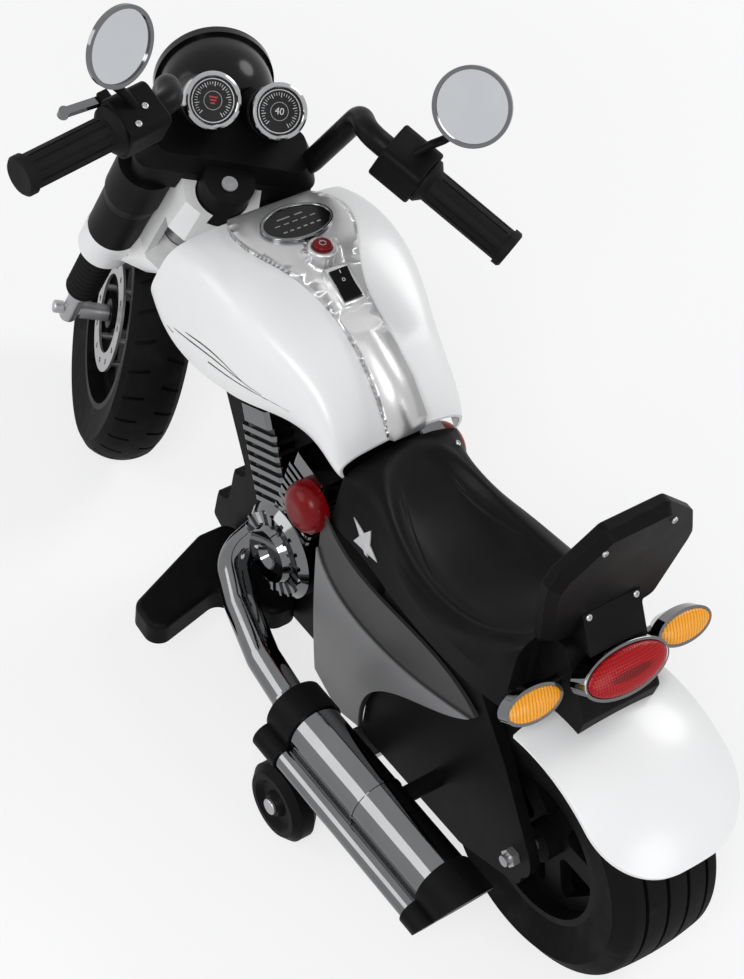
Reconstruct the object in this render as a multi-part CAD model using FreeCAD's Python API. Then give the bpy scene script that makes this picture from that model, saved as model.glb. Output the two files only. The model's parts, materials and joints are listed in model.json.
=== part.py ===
import FreeCAD, Part
import math
import os

V = FreeCAD.Vector
O, X, Y, Z = V(0, 0, 0), V(1, 0, 0), V(0, 1, 0), V(0, 0, 1)

# Kids electric motorbike, millimetres and degrees
# Origin on the floor under the rear axle, +X forward, +Y left, +Z up
# Steered pieces are drawn in the fork's frame: origin at the front axle, Z along the steering axis

# General clearances
OVERRUN = 60.0
SEAT_GAP = 0.2
PANEL_GAP = 0.5
MOVE_GAP = 1.5
RUN_FIT = 0.05
CORNER_SHARE = 0.48
BEND_SHARE = 0.45

# Stance
WHEELBASE = 820.0
RAKE = 24.7
STEER = -29.0
STEER_LIMIT = 33.0
AXLE_R = 6.0
NUT_R = 10.0
NUT_LENGTH = 8.0

# Rear wheel
REAR_R = 145.0
REAR_WIDTH = 128.0
REAR_TREAD = 104.0
REAR_CROWN = 330.0
REAR_RIM_R = 88.0
REAR_BEAD = 108.0
REAR_SHOULDER_DROP = 22.0
REAR_SHOULDER_ROUND = 9.0
GROOVE_WIDTH = 4.0
GROOVE_DEPTH = 4.5
REAR_GROOVE_PITCH = 25.0
REAR_GROOVES = 4
REAR_HUB_R = 20.0
REAR_WEB = 14.0
MOTOR_CAN_SHARE = 0.9
REAR_BARREL = 7.0
REAR_SPOKES = 5
SPOKE_WIDTH = 24.0
WINDOW_ROUND = 7.0

# Front wheel
FRONT_R = 167.0
FRONT_WIDTH = 72.0
FRONT_TREAD = 58.0
FRONT_CROWN = 52.0
FRONT_RIM_R = 112.0
FRONT_BEAD = 56.0
FRONT_SHOULDER_DROP = 18.0
FRONT_SHOULDER_ROUND = 5.0
FRONT_BLOCKS = 30
FRONT_BLOCK_START = 7.0
BLOCK_TURN = 16.0
BLOCK_TILT = 12.0
FRONT_HUB_R = 17.0
FRONT_WEB = 16.0
FRONT_BARREL = 7.0
FRONT_SPOKES = 6
DISC_R = 68.0
DISC_BORE_R = 46.0
DISC_THICKNESS = 3.0
DISC_HOLES = 12
DISC_HOLE_R = 3.5
DISC_PAD = 8.0

# Stabiliser wheels
TRAINER_R = 44.0
TRAINER_WIDTH = 30.0
TRAINER_X = 228.0
TRAINER_Y = 182.0
TRAINER_BOLT_R = 5.0
TRAINER_HEAD_R = 9.0
TRAINER_HEAD = 4.0
TRAINER_ROUND = 8.0
TRAINER_DISH_R = 30.0
TRAINER_DISH = 6.0
ARM_WIDTH = 40.0
ARM_PLATE = 7.0
ARM_INNER_Y = 18.0

# Frame
FRAME_HALF = 52.0
FRAME_SPLIT = 0.3
FRAME_ROUND = 10.0
FRAME_EDGE = 4.0
BELLY_Z = 75.0
SEAT_RISE = 16.0
BACKBONE_RISE = 130.0
ARCH_GAP = 9.0
FRAME_BACK_WALL = 11.0
ARM_Y = 68.0
ARM_THICKNESS = 12.0
ARM_BOSS_R = 24.0
TONGUE_HALF = 40.0
TONGUE_REAR = 30.0
# Lower front steps of the frame, as shares of the wheelbase and of the seat base height
STEP_SHARES = ((0.64, 0.245), (0.69, 0.31), (0.685, 0.44), (0.66, 0.46), (0.655, 0.615), (0.624, 0.65))
DOWNTUBE_SHARES = ((0.695, 0.96), (0.757, 1.2))
BACKBONE_SHARES = (0.76, 0.57, 0.485, 0.435, 0.42)
# Rear arm outline, as shares of its reach ahead of the axle and of its rise to the seat base
ARM_SHARES = ((1.0, -0.42), (1.0, 0.998), (0.40, 0.998), (0.17, 0.62), (-0.08, 0.1), (-0.06, -0.2),
              (0.30, -0.40))
ARM_REACH = 240.0
ARM_BRIDGE = 68.0

# Battery, control box, charging socket
BAY_LENGTH = 118.0
BAY_REAR_WALL = 29.0
BAY_FLOOR_Z = 165.0
BAY_WALL = 6.0
BATTERY_HEIGHT = 105.0
BATTERY_LENGTH = 108.0
TERMINAL_R = 4.0
TERMINAL_HEIGHT = 8.0
BOX_LENGTH = 70.0
BOX_WIDTH = 52.0
BOX_HEIGHT = 20.0
SOCKET_X_SHARE = 0.42
SOCKET_Z = 240.0
SOCKET_FLANGE_R = 11.0
SOCKET_FLANGE = 3.0
SOCKET_BODY_R = 8.0
SOCKET_DEPTH = 18.0
PLUG_BORE_R = 2.8
PLUG_DEPTH = 12.0

# Steering head, in the fork's frame
HEAD_TUBE_R = 22.0
HEAD_BORE_R = 15.0
HEAD_LOW_RISE = 49.0
HEAD_LENGTH = 74.0
BUSH_LENGTH = 16.0
BUSH_FLANGE = 2.0
STEM_R = 12.0
WEB_HALF = 8.0
WEB_REACH = 150.0
WEB_MARGIN = 6.0
NOSE_SETBACK = 74.0

# Tank
TANK_REAR_SHARE = 0.40976
TANK_NOSE_SETBACK = 154.0
TANK_HALF_WIDTH = 115.0
TANK_RISE = 46.0
TANK_HEIGHT = 145.0
TANK_WALL = 3.5
# Rows of length, half width, ridge, widest line, lower edge and fullness, as shares of the tank's own sizes
TANK_SHARES = (
    (0.0, 0.655, 0.27, 0.125, 0.055, 0.45), (0.103, 0.715, 0.57, 0.276, 0.165, 0.65),
    (0.224, 0.785, 0.735, 0.317, 0.193, 0.85), (0.361, 0.905, 0.855, 0.262, 0.11, 1.0),
    (0.497, 0.975, 0.98, 0.221, 0.041, 1.0), (0.633, 1.0, 1.0, 0.221, 0.0, 1.0),
    (0.77, 0.98, 0.924, 0.262, 0.014, 1.0), (0.891, 0.915, 0.78, 0.303, 0.09, 1.0),
    (1.0, 0.80, 0.60, 0.33, 0.20, 1.0))
TANK_ARC_SHARES = ((0.995, 0.46), (0.925, 0.85), (0.61, 0.98))
TANK_FOOT_SHARE = 0.93

# Panel on the tank's ridge, its rows as shares of the tank's length and of the panel's half width
PANEL_HALF_WIDTH = 62.0
PANEL_RISE = 7.0
PANEL_SHARES = ((-0.04, 0.30), (0.20, 0.34), (0.33, 0.38), (0.45, 0.62), (0.56, 0.93), (0.66, 1.0),
                (0.76, 0.80), (0.815, 0.45))
# Raised rear end of the panel's strip, as shares of the tank's length and height
HEEL_SHARES = ((-0.027, 0.283), (-0.027, 0.41), (0.064, 0.61), (0.176, 0.75), (0.306, 0.84), (0.306, 0.6),
               (0.03, 0.2))
HEEL_HALF = 18.5
MEDIA_X_SHARE = 0.613
MEDIA_HALF_LENGTH = 41.0
MEDIA_HALF_WIDTH = 26.0
MEDIA_RIM = 4.0
MEDIA_RISE = 5.0
MEDIA_SINK = 1.5
BUTTON_X_SHARE = 0.482
COLLAR_R = 15.5
COLLAR_RISE = 9.0
COLLAR_ROUND = 2.5
BUTTON_R = 9.5
BUTTON_RISE = 4.0
BUTTON_TRAVEL = 2.5
ROCKER_X_SHARE = 0.365
ROCKER_SLOPE = 26.0
ROCKER_FRAME_LENGTH = 42.0
ROCKER_FRAME_WIDTH = 29.0
ROCKER_FRAME_RISE = 9.0
ROCKER_FRAME_WALL = 4.0
ROCKER_RISE = 2.5
ROCKER_FLOOR = 5.0
ROCKER_PIN_R = 2.0
ROCKER_PIN_REACH = 2.5

# Seat
SEAT_REAR_X = 58.0
SEAT_HALF_WIDTH = 90.0
SEAT_RIM_HEIGHT = 90.0
# Rows of length, half widths of foot and ridge, ridge, half width of the rim, rim and dish, as shares
SEAT_SHARES = (
    (0.0, 0.89, 0.867, 0.556, 0.578, 1.0, 0.0), (0.094, 0.956, 0.956, 0.356, 0.644, 0.756, 0.056),
    (0.241, 1.0, 1.0, 0.311, 0.678, 0.489, 0.122), (0.421, 1.0, 0.978, 0.267, 0.678, 0.344, 0.144),
    (0.619, 0.956, 0.878, 0.30, 0.644, 0.367, 0.144), (0.781, 0.90, 0.744, 0.389, 0.60, 0.511, 0.111),
    (0.90, 0.889, 0.70, 0.533, 0.467, 0.667, 0.035), (1.0, 0.867, 0.778, 0.611, 0.50, 0.722, -0.045))
DISH_SHARES = ((0.72, 0.62), (0.36, 0.95))

# Backrest
BACK_LEAN = 7.0
BACK_HEIGHT = 151.0
BACK_HALF_WIDTH = 84.5
BACK_SHELL = 10.5
BACK_INSET = 8.0
BACK_ROUND = 9.0
BACK_SHARES = ((0.62, 0.0), (0.78, 0.025), (0.99, 0.56), (1.0, 0.64), (0.94, 0.74), (0.43, 1.0))
BACK_FOOT_HALF = 34.0
BACK_FOOT_DEPTH = 26.0
BACK_FOOT_RISE = 34.0

# Tail
TAIL_HALF = 46.0
TAIL_RISE = 93.0
TAIL_ROUND = 6.0
LAMP_LEAN = 35.0
LAMP_X = -7.0
LAMP_RISE = 75.0
LAMP_HALF_LENGTH = 51.0
LAMP_HALF_WIDTH = 25.0
LAMP_DEPTH = 21.0
LAMP_RIM = 4.0
LAMP_LENS_RISE = 7.0
LAMP_FLOOR = 5.0
TAIL_LOWER_SHARE = 1.55
SIGNAL_X = 12.0
SIGNAL_Y = 91.0
SIGNAL_RISE = 62.0
SIGNAL_HALF_LENGTH = 33.0
SIGNAL_HALF_WIDTH = 17.0
SIGNAL_DEPTH = 34.0
SIGNAL_COLLAR = 13.0
SIGNAL_NOSE_SHARE = 0.45
SIGNAL_FLOOR = 4.0
SIGNAL_RIM = 3.0
SIGNAL_LENS_RISE = 4.5
STALK_R = 6.0

# Rear fender
FENDER_CROWN_GAP = 33.0
FENDER_LIP_GAP = 15.0
FENDER_HALF = 88.0
FENDER_WALL = 3.5
FENDER_FRONT = 79.0
FENDER_REAR = 145.0
FENDER_CORNER = 75.0

# Side covers
COVER_Y = 82.0
COVER_THICKNESS = 10.0
COVER_BULGE_R = 1400.0
COVER_BOSS_R = 8.0
# Outline rows as shares of the cover's length from the rear axle and of the seat base height
COVER_LENGTH_SHARE = 0.4195
COVER_TOP_SHARES = ((1.0, 1.035), (0.90, 0.965), (0.58, 0.94), (0.24, 0.885))
COVER_ARCH_SHARES = ((0.43, 0.73), (0.60, 0.60), (0.69, 0.30))
COVER_TOE_SHARES = ((0.80, 0.26), (0.92, 0.34))
COVER_CREASE_SHARES = ((1.02, 1.0), (0.90, 0.80), (0.70, 0.76), (0.45, 0.80), (0.24, 0.875))
COVER_CREASE = 3.5

# Engine dress panels
ENGINE_X_SHARE = 0.5
CRANK_Z = 192.0
CRANK_R = 54.0
CRANK_DEPTH = 34.0
CRANK_RIBS = 18
CRANK_RIB_WIDTH = 4.0
CRANK_CAP_R = 30.0
CRANK_CAP_DEPTH = 8.0
CYLINDER_LENGTH = 112.0
CYLINDER_WIDTH = 50.0
CYLINDER_DEPTH = 26.0
CYLINDER_FINS = 9
FIN_SHARE = 0.5
FIN_OVERHANG = 6.0
CYLINDER_ROOT = 40.0
CYLINDER_LEANS = (-25.0, 12.0)
CYLINDER_LENGTH_SHARES = (1.1, 1.0)
HEAD_BLOCK = 20.0
DOME_X_SHARE = 0.445
DOME_Z = 302.0
DOME_R = 28.0
DOME_HEIGHT = 24.0
DOME_ROUND = 17.0

# Exhaust
MUFFLER_Y = 150.0
MUFFLER_Z = 131.0
MUFFLER_R = 30.0
MUFFLER_FRONT_X = 234.0
MUFFLER_LENGTH = 214.0
SIDE_PIPE_R = 13.0
SIDE_PIPE_OUT = 32.0
SIDE_PIPE_DROP = 24.0
PIPE_WEB = 14.0
COLLAR_LENGTH = 36.0
COLLAR_LIP = 3.0
CAP_LENGTH = 20.0
CAP_SLANT = 26.0
HEADER_R = 18.0
HEADER_BEND = 34.0
HEADER_PORT_X_SHARE = 0.555
HEADER_PORT_Z = 185.0
# Corners of the header pipe as shares of its length, its reach outwards and its fall
HEADER_SHARES = ((0.02, 0.57, 0.5), (0.30, 0.78, 0.72), (0.66, 0.95, 0.86))
HANGER_R = 9.0
HANGER_X = 120.0

# Footboards and accelerator pedal
BOARD_Z = 86.0
BOARD_THICKNESS = 28.0
BOARD_REACH = 158.0
BOARD_ROUND = 16.0
BOARD_EDGE = 6.0
# Plan rows as shares of the wheelbase and of the board's reach from the frame
BOARD_SHARES = ((0.648, 0.0), (0.648, 0.26), (0.588, 0.98), (0.528, 1.0), (0.556, 0.42), (0.48, 0.22),
                (0.48, 0.0))
PEDAL_LENGTH = 62.0
PEDAL_WIDTH = 34.0
PEDAL_THICKNESS = 6.0
PEDAL_LIFT = 7.0
PEDAL_PIN_R = 3.0
PEDAL_X_SHARE = 0.57
PEDAL_REACH_SHARE = 0.5
PEDAL_LUG = 5.0
PEDAL_REST = 9.0
PEDAL_RIBS = 4

# Fork, in the fork's frame
FORK_HALF = 72.0
LEG_R = 10.0
LEG_TAIL = 20.0
LEG_FOOT_SHARE = 0.6
LEG_TOP = 52.0
LEG_RING_R = 15.0
LEG_RING = 7.0
TUBE_R = 10.0
AXLE_KNOB_R = 7.5
AXLE_KNOB = 11.0
GAITER_RIBS = 11
GAITER_R = 19.5
GAITER_VALLEY_R = 16.5
GAITER_SHARES = ((0.0, 0.0), (0.3, 1.0), (0.6, 1.0), (0.9, 0.0))
SLEEVE_R = 30.0
SLEEVE_DROP = 14.0
SLEEVE_RISE = 30.0
YOKE_RISE = 13.0
YOKE_HEIGHT = 33.0
YOKE_HALF_DEPTH = 30.0
FENDER_TYRE_GAP = 9.0
FRONT_FENDER_HALF = 38.0
FRONT_FENDER_LIP = 9.0
FRONT_FENDER_START = 52.0
FRONT_FENDER_END = 98.0
COLUMN_R = 64.0
COLUMN_BORE_R = 38.0
COLUMN_TOP_RISE = 190.0
# Half sections of the column from rear to front, as shares of its radius
COLUMN_FOOT_SHARES = ((-0.62, 0.50), (-0.46, 0.95), (0.0, 1.06), (0.40, 0.95), (0.62, 0.45))
COLUMN_LOW_SHARES = ((-0.90, 0.34), (-0.64, 0.64), (-0.20, 0.76), (0.45, 0.74), (0.78, 0.30))
COLUMN_TOP_SHARES = ((-0.98, 0.36), (-0.80, 0.60), (-0.24, 0.68), (0.36, 0.60), (0.52, 0.24))
COLUMN_ROOM_SHARE = 1.02
COLUMN_WINDOW_RISE = 127.0
COLUMN_WINDOW_MARGIN = 5.0
SHROUD_R = 29.0
SHROUD_TOP_R = 31.5

# Binnacle and gauges
BINNACLE_RISE = 169.0
BINNACLE_HEIGHT = 60.0
BINNACLE_HALF = 98.0
BINNACLE_DEPTH = 70.0
BINNACLE_REAR = 26.0
BINNACLE_ROUND = 16.0
BINNACLE_TOP_SHARE = 0.84
BINNACLE_LOW_SHARE = 0.94
BINNACLE_WAIST_SHARE = 0.55
# Corners of its plan from rear to front, as shares of its front reach and half width
BINNACLE_PLAN_SHARES = ((0.7, 0.94), (1.0, 0.6))
BOSS_X = -36.0
BOSS_R = 27.0
BOSS_LOW_RISE = 170.0
BOSS_HEIGHT = 48.0
GAUGE_X = 18.0
GAUGE_Y = 34.6
GAUGE_RISE = 273.0
GAUGE_LEAN = 30.0
GAUGE_R = 29.0
GAUGE_RING = 5.0
GAUGE_RING_HEIGHT = 12.0
GAUGE_CUP = 14.0
GAUGE_RING_ROUND = 2.5
BARREL_R = 27.5
BARREL_LENGTH = 44.0
DIAL_THICKNESS = 3.0
DIAL_SINK = 4.0

# Headlight
LIGHT_X = 95.0
LIGHT_RISE = 173.0
LIGHT_R = 60.0
LIGHT_BARREL = 26.0
LIGHT_WALL = 3.0
LIGHT_LIP = 3.5
LIGHT_LIP_LENGTH = 10.0
LENS_CROWN = 10.0
LENS_SEAT = 5.0

# Handlebar and controls
BAR_R = 12.0
BAR_BEND = 24.0
BAR_CLAMP_RISE = 205.0
BAR_RISE = 353.0
BAR_EXIT_Y = 84.0
BAR_SHOULDER_Y = 100.0
BAR_SHOULDER_X = -12.0
BAR_SHOULDER_DROP = 18.0
GRIP_SWEEP = 37.0
GRIP_X = -85.0
GRIP_Y = 155.6
GRIP_LENGTH = 108.0
GRIP_R = 17.5
GRIP_FLANGE_R = 24.0
GRIP_FLANGE = 9.0
GRIP_END_R = 20.0
GRIP_END = 9.0
GRIP_WALL = 4.0
GRIP_RIBS = 12
GRIP_RIB_DEPTH = 0.9
GRIP_RIB_WIDTH = 2.4
HOUSING_LENGTH = 48.0
HOUSING_DEPTH = 50.0
HOUSING_HEIGHT = 45.0
HOUSING_ROUND = 9.0
LEVER_LENGTH = 42.0
LEVER_BLADE_SHARE = 0.7
LEVER_R = 5.5
LEVER_THICKNESS = 8.0
LEVER_PIVOT_R = 3.0
LEVER_EAR = 4.0

# Mirrors
MIRROR_X = -52.0
MIRROR_Y = 171.0
MIRROR_RISE = 440.0
MIRROR_R = 39.5
MIRROR_DEPTH = 15.0
MIRROR_RIM = 4.0
MIRROR_GLASS = 2.5
# Dome behind the glass, as shares of its radius and depth
MIRROR_DOME_SHARES = ((0.45, 0.92), (0.8, 0.62))
MIRROR_AIM = (-0.61, 0.55, 0.57)
MIRROR_PIN_R = 4.5
MIRROR_BOSS_R = 8.5
MIRROR_BOSS_LENGTH = 20.0
MIRROR_BOSS_SHARE = 0.80
MIRROR_BOSS_BACK = 13.0
STALK_TOP = 4.0
STALK_KNEE_SHARE = 0.9

# Derived places
FRONT_LEAN = math.asin(math.sin(math.radians(STEER)) * math.sin(math.radians(RAKE)))
FRONT_AXLE_Z = (FRONT_R - FRONT_CROWN) * math.cos(FRONT_LEAN) + FRONT_CROWN
FRONT_AXLE = V(WHEELBASE, 0, FRONT_AXLE_Z)
REAR_AXLE = V(0, 0, REAR_R)
HEAD_FRAME = FreeCAD.Placement(FRONT_AXLE, FreeCAD.Rotation(Y, -RAKE))
FORK_FRAME = HEAD_FRAME.multiply(FreeCAD.Placement(O, FreeCAD.Rotation(Z, STEER)))
HEAD_LOW = FRONT_R + HEAD_LOW_RISE
HEAD_TOP = HEAD_LOW + HEAD_LENGTH
COLUMN_TOP = FRONT_R + COLUMN_TOP_RISE
BINNACLE_LOW = FRONT_R + BINNACLE_RISE
BAR_Z = FRONT_R + BAR_RISE
SLEEVE_LOW = FRONT_R - SLEEVE_DROP
SLEEVE_TOP = FRONT_R + SLEEVE_RISE
YOKE_TOP = FRONT_R + YOKE_RISE + YOKE_HEIGHT
FRAME_BACK = REAR_R + ARCH_GAP + FRAME_BACK_WALL
BAY_FRONT_X = FRAME_BACK + BAY_REAR_WALL + BAY_LENGTH
SEAT_BASE_Z = REAR_R * 2 + SEAT_RISE
BACKBONE_Z = SEAT_BASE_Z + BACKBONE_RISE
TANK_BASE_Z = SEAT_BASE_Z + TANK_RISE
TANK_REAR_X = WHEELBASE * TANK_REAR_SHARE
TANK_LENGTH = WHEELBASE - TANK_NOSE_SETBACK - TANK_REAR_X
TAIL_TOP_Z = SEAT_BASE_Z + TAIL_RISE
LAMP_Z = SEAT_BASE_Z + LAMP_RISE
SIGNAL_Z = SEAT_BASE_Z + SIGNAL_RISE
BACK_BASE_Z = TAIL_TOP_Z + SEAT_GAP + BACK_SHELL * 2 * math.sin(math.radians(BACK_LEAN))
FENDER_CROWN_R = REAR_R + FENDER_CROWN_GAP
FENDER_LIP_R = REAR_R + FENDER_LIP_GAP
COVER_LENGTH = WHEELBASE * COVER_LENGTH_SHARE
ARM_OUTER_Y = ARM_Y + ARM_THICKNESS


def up(degrees):
    return math.radians(degrees)


def moved(shape, frame):
    copy = shape.copy()
    copy.Placement = frame.multiply(copy.Placement)
    return copy


def steered(shape):
    return moved(shape, FORK_FRAME)


def mirrored(shape):
    return shape.mirror(O, Y)


def both(shape):
    return Part.makeCompound([shape, mirrored(shape)])


def rounded(points, radius):
    """Closed outline with an arc at each corner, none longer than its sides allow."""
    edges = []
    corners = []
    count = len(points)
    for i, corner in enumerate(points):
        back = points[i - 1] - corner
        ahead = points[(i + 1) % count] - corner
        room = min(back.Length, ahead.Length) * CORNER_SHARE
        back.normalize()
        ahead.normalize()
        half = math.acos(max(-1.0, min(1.0, back.dot(ahead)))) / 2
        reach = min(radius / math.tan(half), room)
        size = reach * math.tan(half)
        middle = (back + ahead).normalize()
        inset = size / math.sin(half) - size
        corners.append((corner + back * reach, corner + middle * inset, corner + ahead * reach))
    for i, (start, middle, end) in enumerate(corners):
        edges.append(Part.Arc(start, middle, end).toShape())
        edges.append(Part.LineSegment(end, corners[(i + 1) % count][0]).toShape())
    return Part.Wire(edges)


def polygon(points):
    return Part.makePolygon(list(points) + [points[0]])


def slab(wire, reach):
    return Part.Face(wire).extrude(reach)


def side_view(rows, y):
    return [V(x, y, z) for x, z in rows]


def turned(rows, centre, axis):
    """Solid of revolution of a closed profile of radius and height rows."""
    profile = polygon([V(r, 0, h) for r, h in rows])
    return aimed(Part.Face(profile).revolve(O, Z, 360), centre, axis)


def aimed(shape, centre, axis):
    copy = shape.copy()
    copy.Placement = FreeCAD.Placement(centre, FreeCAD.Rotation(Z, axis)).multiply(copy.Placement)
    return copy


def rod(radius, start, end):
    axis = end - start
    return Part.makeCylinder(radius, axis.Length, start, axis)


def bent_tube(points, radius, bend):
    """Round tube along straight runs joined by tangent arcs."""
    edges = []
    last = points[0]
    for i in range(1, len(points) - 1):
        corner = points[i]
        back = points[i - 1] - corner
        ahead = points[i + 1] - corner
        room = min(back.Length, ahead.Length) * BEND_SHARE
        back.normalize()
        ahead.normalize()
        half = math.acos(max(-1.0, min(1.0, back.dot(ahead)))) / 2
        reach = min(bend / math.tan(half), room)
        size = reach * math.tan(half)
        middle = (back + ahead).normalize()
        start = corner + back * reach
        end = corner + ahead * reach
        edges.append(Part.LineSegment(last, start).toShape())
        edges.append(Part.Arc(start, corner + middle * (size / math.sin(half) - size), end).toShape())
        last = end
    edges.append(Part.LineSegment(last, points[-1]).toShape())
    ring = Part.Wire(Part.Circle(points[0], points[1] - points[0], radius).toShape())
    return Part.Wire(edges).makePipeShell([ring], True, False)


def over_curve(points):
    curve = Part.BSplineCurve()
    curve.interpolate(points)
    return curve.toShape()


def save(name, shape):
    if not shape.isValid():
        raise ValueError(name + " is not a valid shape")
    shape.exportStep("parts/" + name + ".step")


# Wheels

def tyre(radius, width, tread, crown, rim, bead, shoulder, edge_round):
    """Tyre ring about Y with a crowned tread and sloping side walls."""
    drop = crown - math.sqrt(crown ** 2 - (tread / 2) ** 2)
    edge = V(radius - drop, tread / 2, 0)
    far = V(radius - drop, -tread / 2, 0)
    side = [V(rim, bead / 2, 0), V(radius - shoulder, width / 2, 0)]
    inner = [V(p.x, -p.y, 0) for p in side]
    lines = [inner[0], side[0], side[1], edge]
    edges = [Part.LineSegment(a, b).toShape() for a, b in zip(lines, lines[1:])]
    edges.append(Part.Arc(edge, V(radius, 0, 0), far).toShape())
    edges.append(Part.LineSegment(far, inner[1]).toShape())
    edges.append(Part.LineSegment(inner[1], inner[0]).toShape())
    ring = Part.Face(Part.Wire(edges)).revolve(O, Y, 360)
    corners = [e for e in ring.Edges if e.Length > math.pi * radius and e.BoundBox.YLength < RUN_FIT
               and abs(e.BoundBox.XMax - edge.x) < RUN_FIT]
    return ring.makeFillet(edge_round, corners)


def rear_tyre():
    ring = tyre(REAR_R, REAR_WIDTH, REAR_TREAD, REAR_CROWN, REAR_RIM_R, REAR_BEAD, REAR_SHOULDER_DROP,
                REAR_SHOULDER_ROUND)
    cuts = []
    for i in range(REAR_GROOVES):
        y = (i - (REAR_GROOVES - 1) / 2) * REAR_GROOVE_PITCH
        drop = REAR_CROWN - math.sqrt(REAR_CROWN ** 2 - y ** 2)
        floor = REAR_R - drop - GROOVE_DEPTH
        rows = ((floor, y - GROOVE_WIDTH / 2), (REAR_R + GROOVE_DEPTH, y - GROOVE_WIDTH / 2),
                (REAR_R + GROOVE_DEPTH, y + GROOVE_WIDTH / 2), (floor, y + GROOVE_WIDTH / 2))
        cuts.append(turned(rows, O, Y))
    return ring.cut(Part.makeCompound(cuts)).translate(REAR_AXLE)


def front_tyre():
    ring = tyre(FRONT_R, FRONT_WIDTH, FRONT_TREAD, FRONT_CROWN, FRONT_RIM_R, FRONT_BEAD, FRONT_SHOULDER_DROP,
                FRONT_SHOULDER_ROUND)
    reach = FRONT_WIDTH / 2
    cuts = []
    for i in range(FRONT_BLOCKS):
        for side in (1, -1):
            start = V(-GROOVE_WIDTH / 2, FRONT_BLOCK_START, 0)
            box = Part.makeBox(GROOVE_WIDTH, reach, GROOVE_DEPTH + OVERRUN, start)
            box.rotate(V(0, FRONT_BLOCK_START, 0), Z, BLOCK_TURN)
            box.rotate(O, X, -BLOCK_TILT)
            box.translate(V(0, 0, FRONT_R - GROOVE_DEPTH))
            if side < 0:
                box = mirrored(box)
            box.rotate(O, Y, (i + (1 - side) / 4) * 360.0 / FRONT_BLOCKS)
            cuts.append(box)
    return ring.cut(Part.makeCompound(cuts))


def rim(outer, barrel, width, hub, web, spokes, y_shift):
    """Spoked rim about Y: barrel, web with windows and a bored hub."""
    inner = outer - barrel
    bore = AXLE_R + RUN_FIT
    half = width / 2
    rows = ((bore, -half), (hub, -half), (hub, y_shift - web / 2), (inner, y_shift - web / 2), (inner, -half),
            (outer, -half), (outer, half), (inner, half), (inner, y_shift + web / 2), (hub, y_shift + web / 2),
            (hub, half), (bore, half))
    body = turned(rows, O, Y)
    low = hub + WINDOW_ROUND
    high = inner - WINDOW_ROUND
    span = math.pi / spokes
    cuts = []
    for i in range(spokes):
        points = []
        for r, sign in ((low, -1), (high, -1), (high, 1), (low, 1)):
            turn = sign * (span - SPOKE_WIDTH / 2 / r)
            points.append(V(r * math.cos(turn), y_shift - web, r * math.sin(turn)))
        window = slab(rounded(points, WINDOW_ROUND), V(0, 2 * web, 0))
        window.rotate(O, Y, i * 360.0 / spokes)
        cuts.append(window)
    return body.cut(Part.makeCompound(cuts))


def rear_rim():
    shape = rim(REAR_RIM_R - SEAT_GAP, REAR_BARREL, REAR_BEAD, REAR_HUB_R, REAR_WEB, REAR_SPOKES, REAR_BEAD / 4)
    pocket = Part.makeCylinder(REAR_RIM_R - REAR_BARREL, REAR_BEAD, V(0, -REAR_BEAD, 0), Y)
    hub_keep = Part.makeCylinder(AXLE_R + RUN_FIT, REAR_BEAD, V(0, -REAR_BEAD, 0), Y)
    return shape.cut(pocket.cut(hub_keep)).translate(REAR_AXLE)


def front_rim():
    return rim(FRONT_RIM_R - SEAT_GAP, FRONT_BARREL, FRONT_BEAD, FRONT_HUB_R, FRONT_WEB, FRONT_SPOKES, 0)


def front_discs():
    """Drilled brake rings on short pads that stand on the rim's web."""
    seat = FRONT_WEB / 2 + SEAT_GAP
    face = FRONT_BEAD / 2
    back = face - DISC_THICKNESS
    rows = ((DISC_BORE_R, back), (DISC_R, back), (DISC_R, face), (DISC_BORE_R, face))
    ring = turned(rows, O, Y)
    middle = (DISC_R + DISC_BORE_R) / 2
    holes = []
    for i in range(DISC_HOLES):
        turn = 2 * math.pi * (i + 0.5) / DISC_HOLES
        place = V(middle * math.cos(turn), 0, middle * math.sin(turn))
        holes.append(Part.makeCylinder(DISC_HOLE_R, FRONT_BEAD, place, Y))
    ring = ring.cut(Part.makeCompound(holes))
    pads = []
    for i in range(FRONT_SPOKES):
        turn = 2 * math.pi * (i + 0.5) / FRONT_SPOKES
        place = V(middle * math.cos(turn), seat, middle * math.sin(turn))
        pads.append(Part.makeCylinder(DISC_PAD / 2, face - seat, place, Y))
    return both(ring.fuse(pads))


def trainer_wheel(side):
    half = TRAINER_WIDTH / 2
    bore = TRAINER_BOLT_R + RUN_FIT
    soft = TRAINER_ROUND / 2
    flat = TRAINER_R - TRAINER_ROUND
    rows = ((bore, -half), (flat, -half), (TRAINER_R - soft, soft - half), (TRAINER_R, TRAINER_ROUND - half),
            (TRAINER_R, half - TRAINER_ROUND), (TRAINER_R - soft, half - soft), (flat, half),
            (TRAINER_DISH_R, half), (TRAINER_DISH_R - TRAINER_DISH, half - TRAINER_DISH),
            (TRAINER_HEAD_R + TRAINER_DISH, half - TRAINER_DISH), (TRAINER_HEAD_R + TRAINER_DISH / 2, half),
            (bore, half))
    wheel = turned(rows, V(TRAINER_X, TRAINER_Y, TRAINER_R), Y)
    return wheel if side > 0 else mirrored(wheel)


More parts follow.
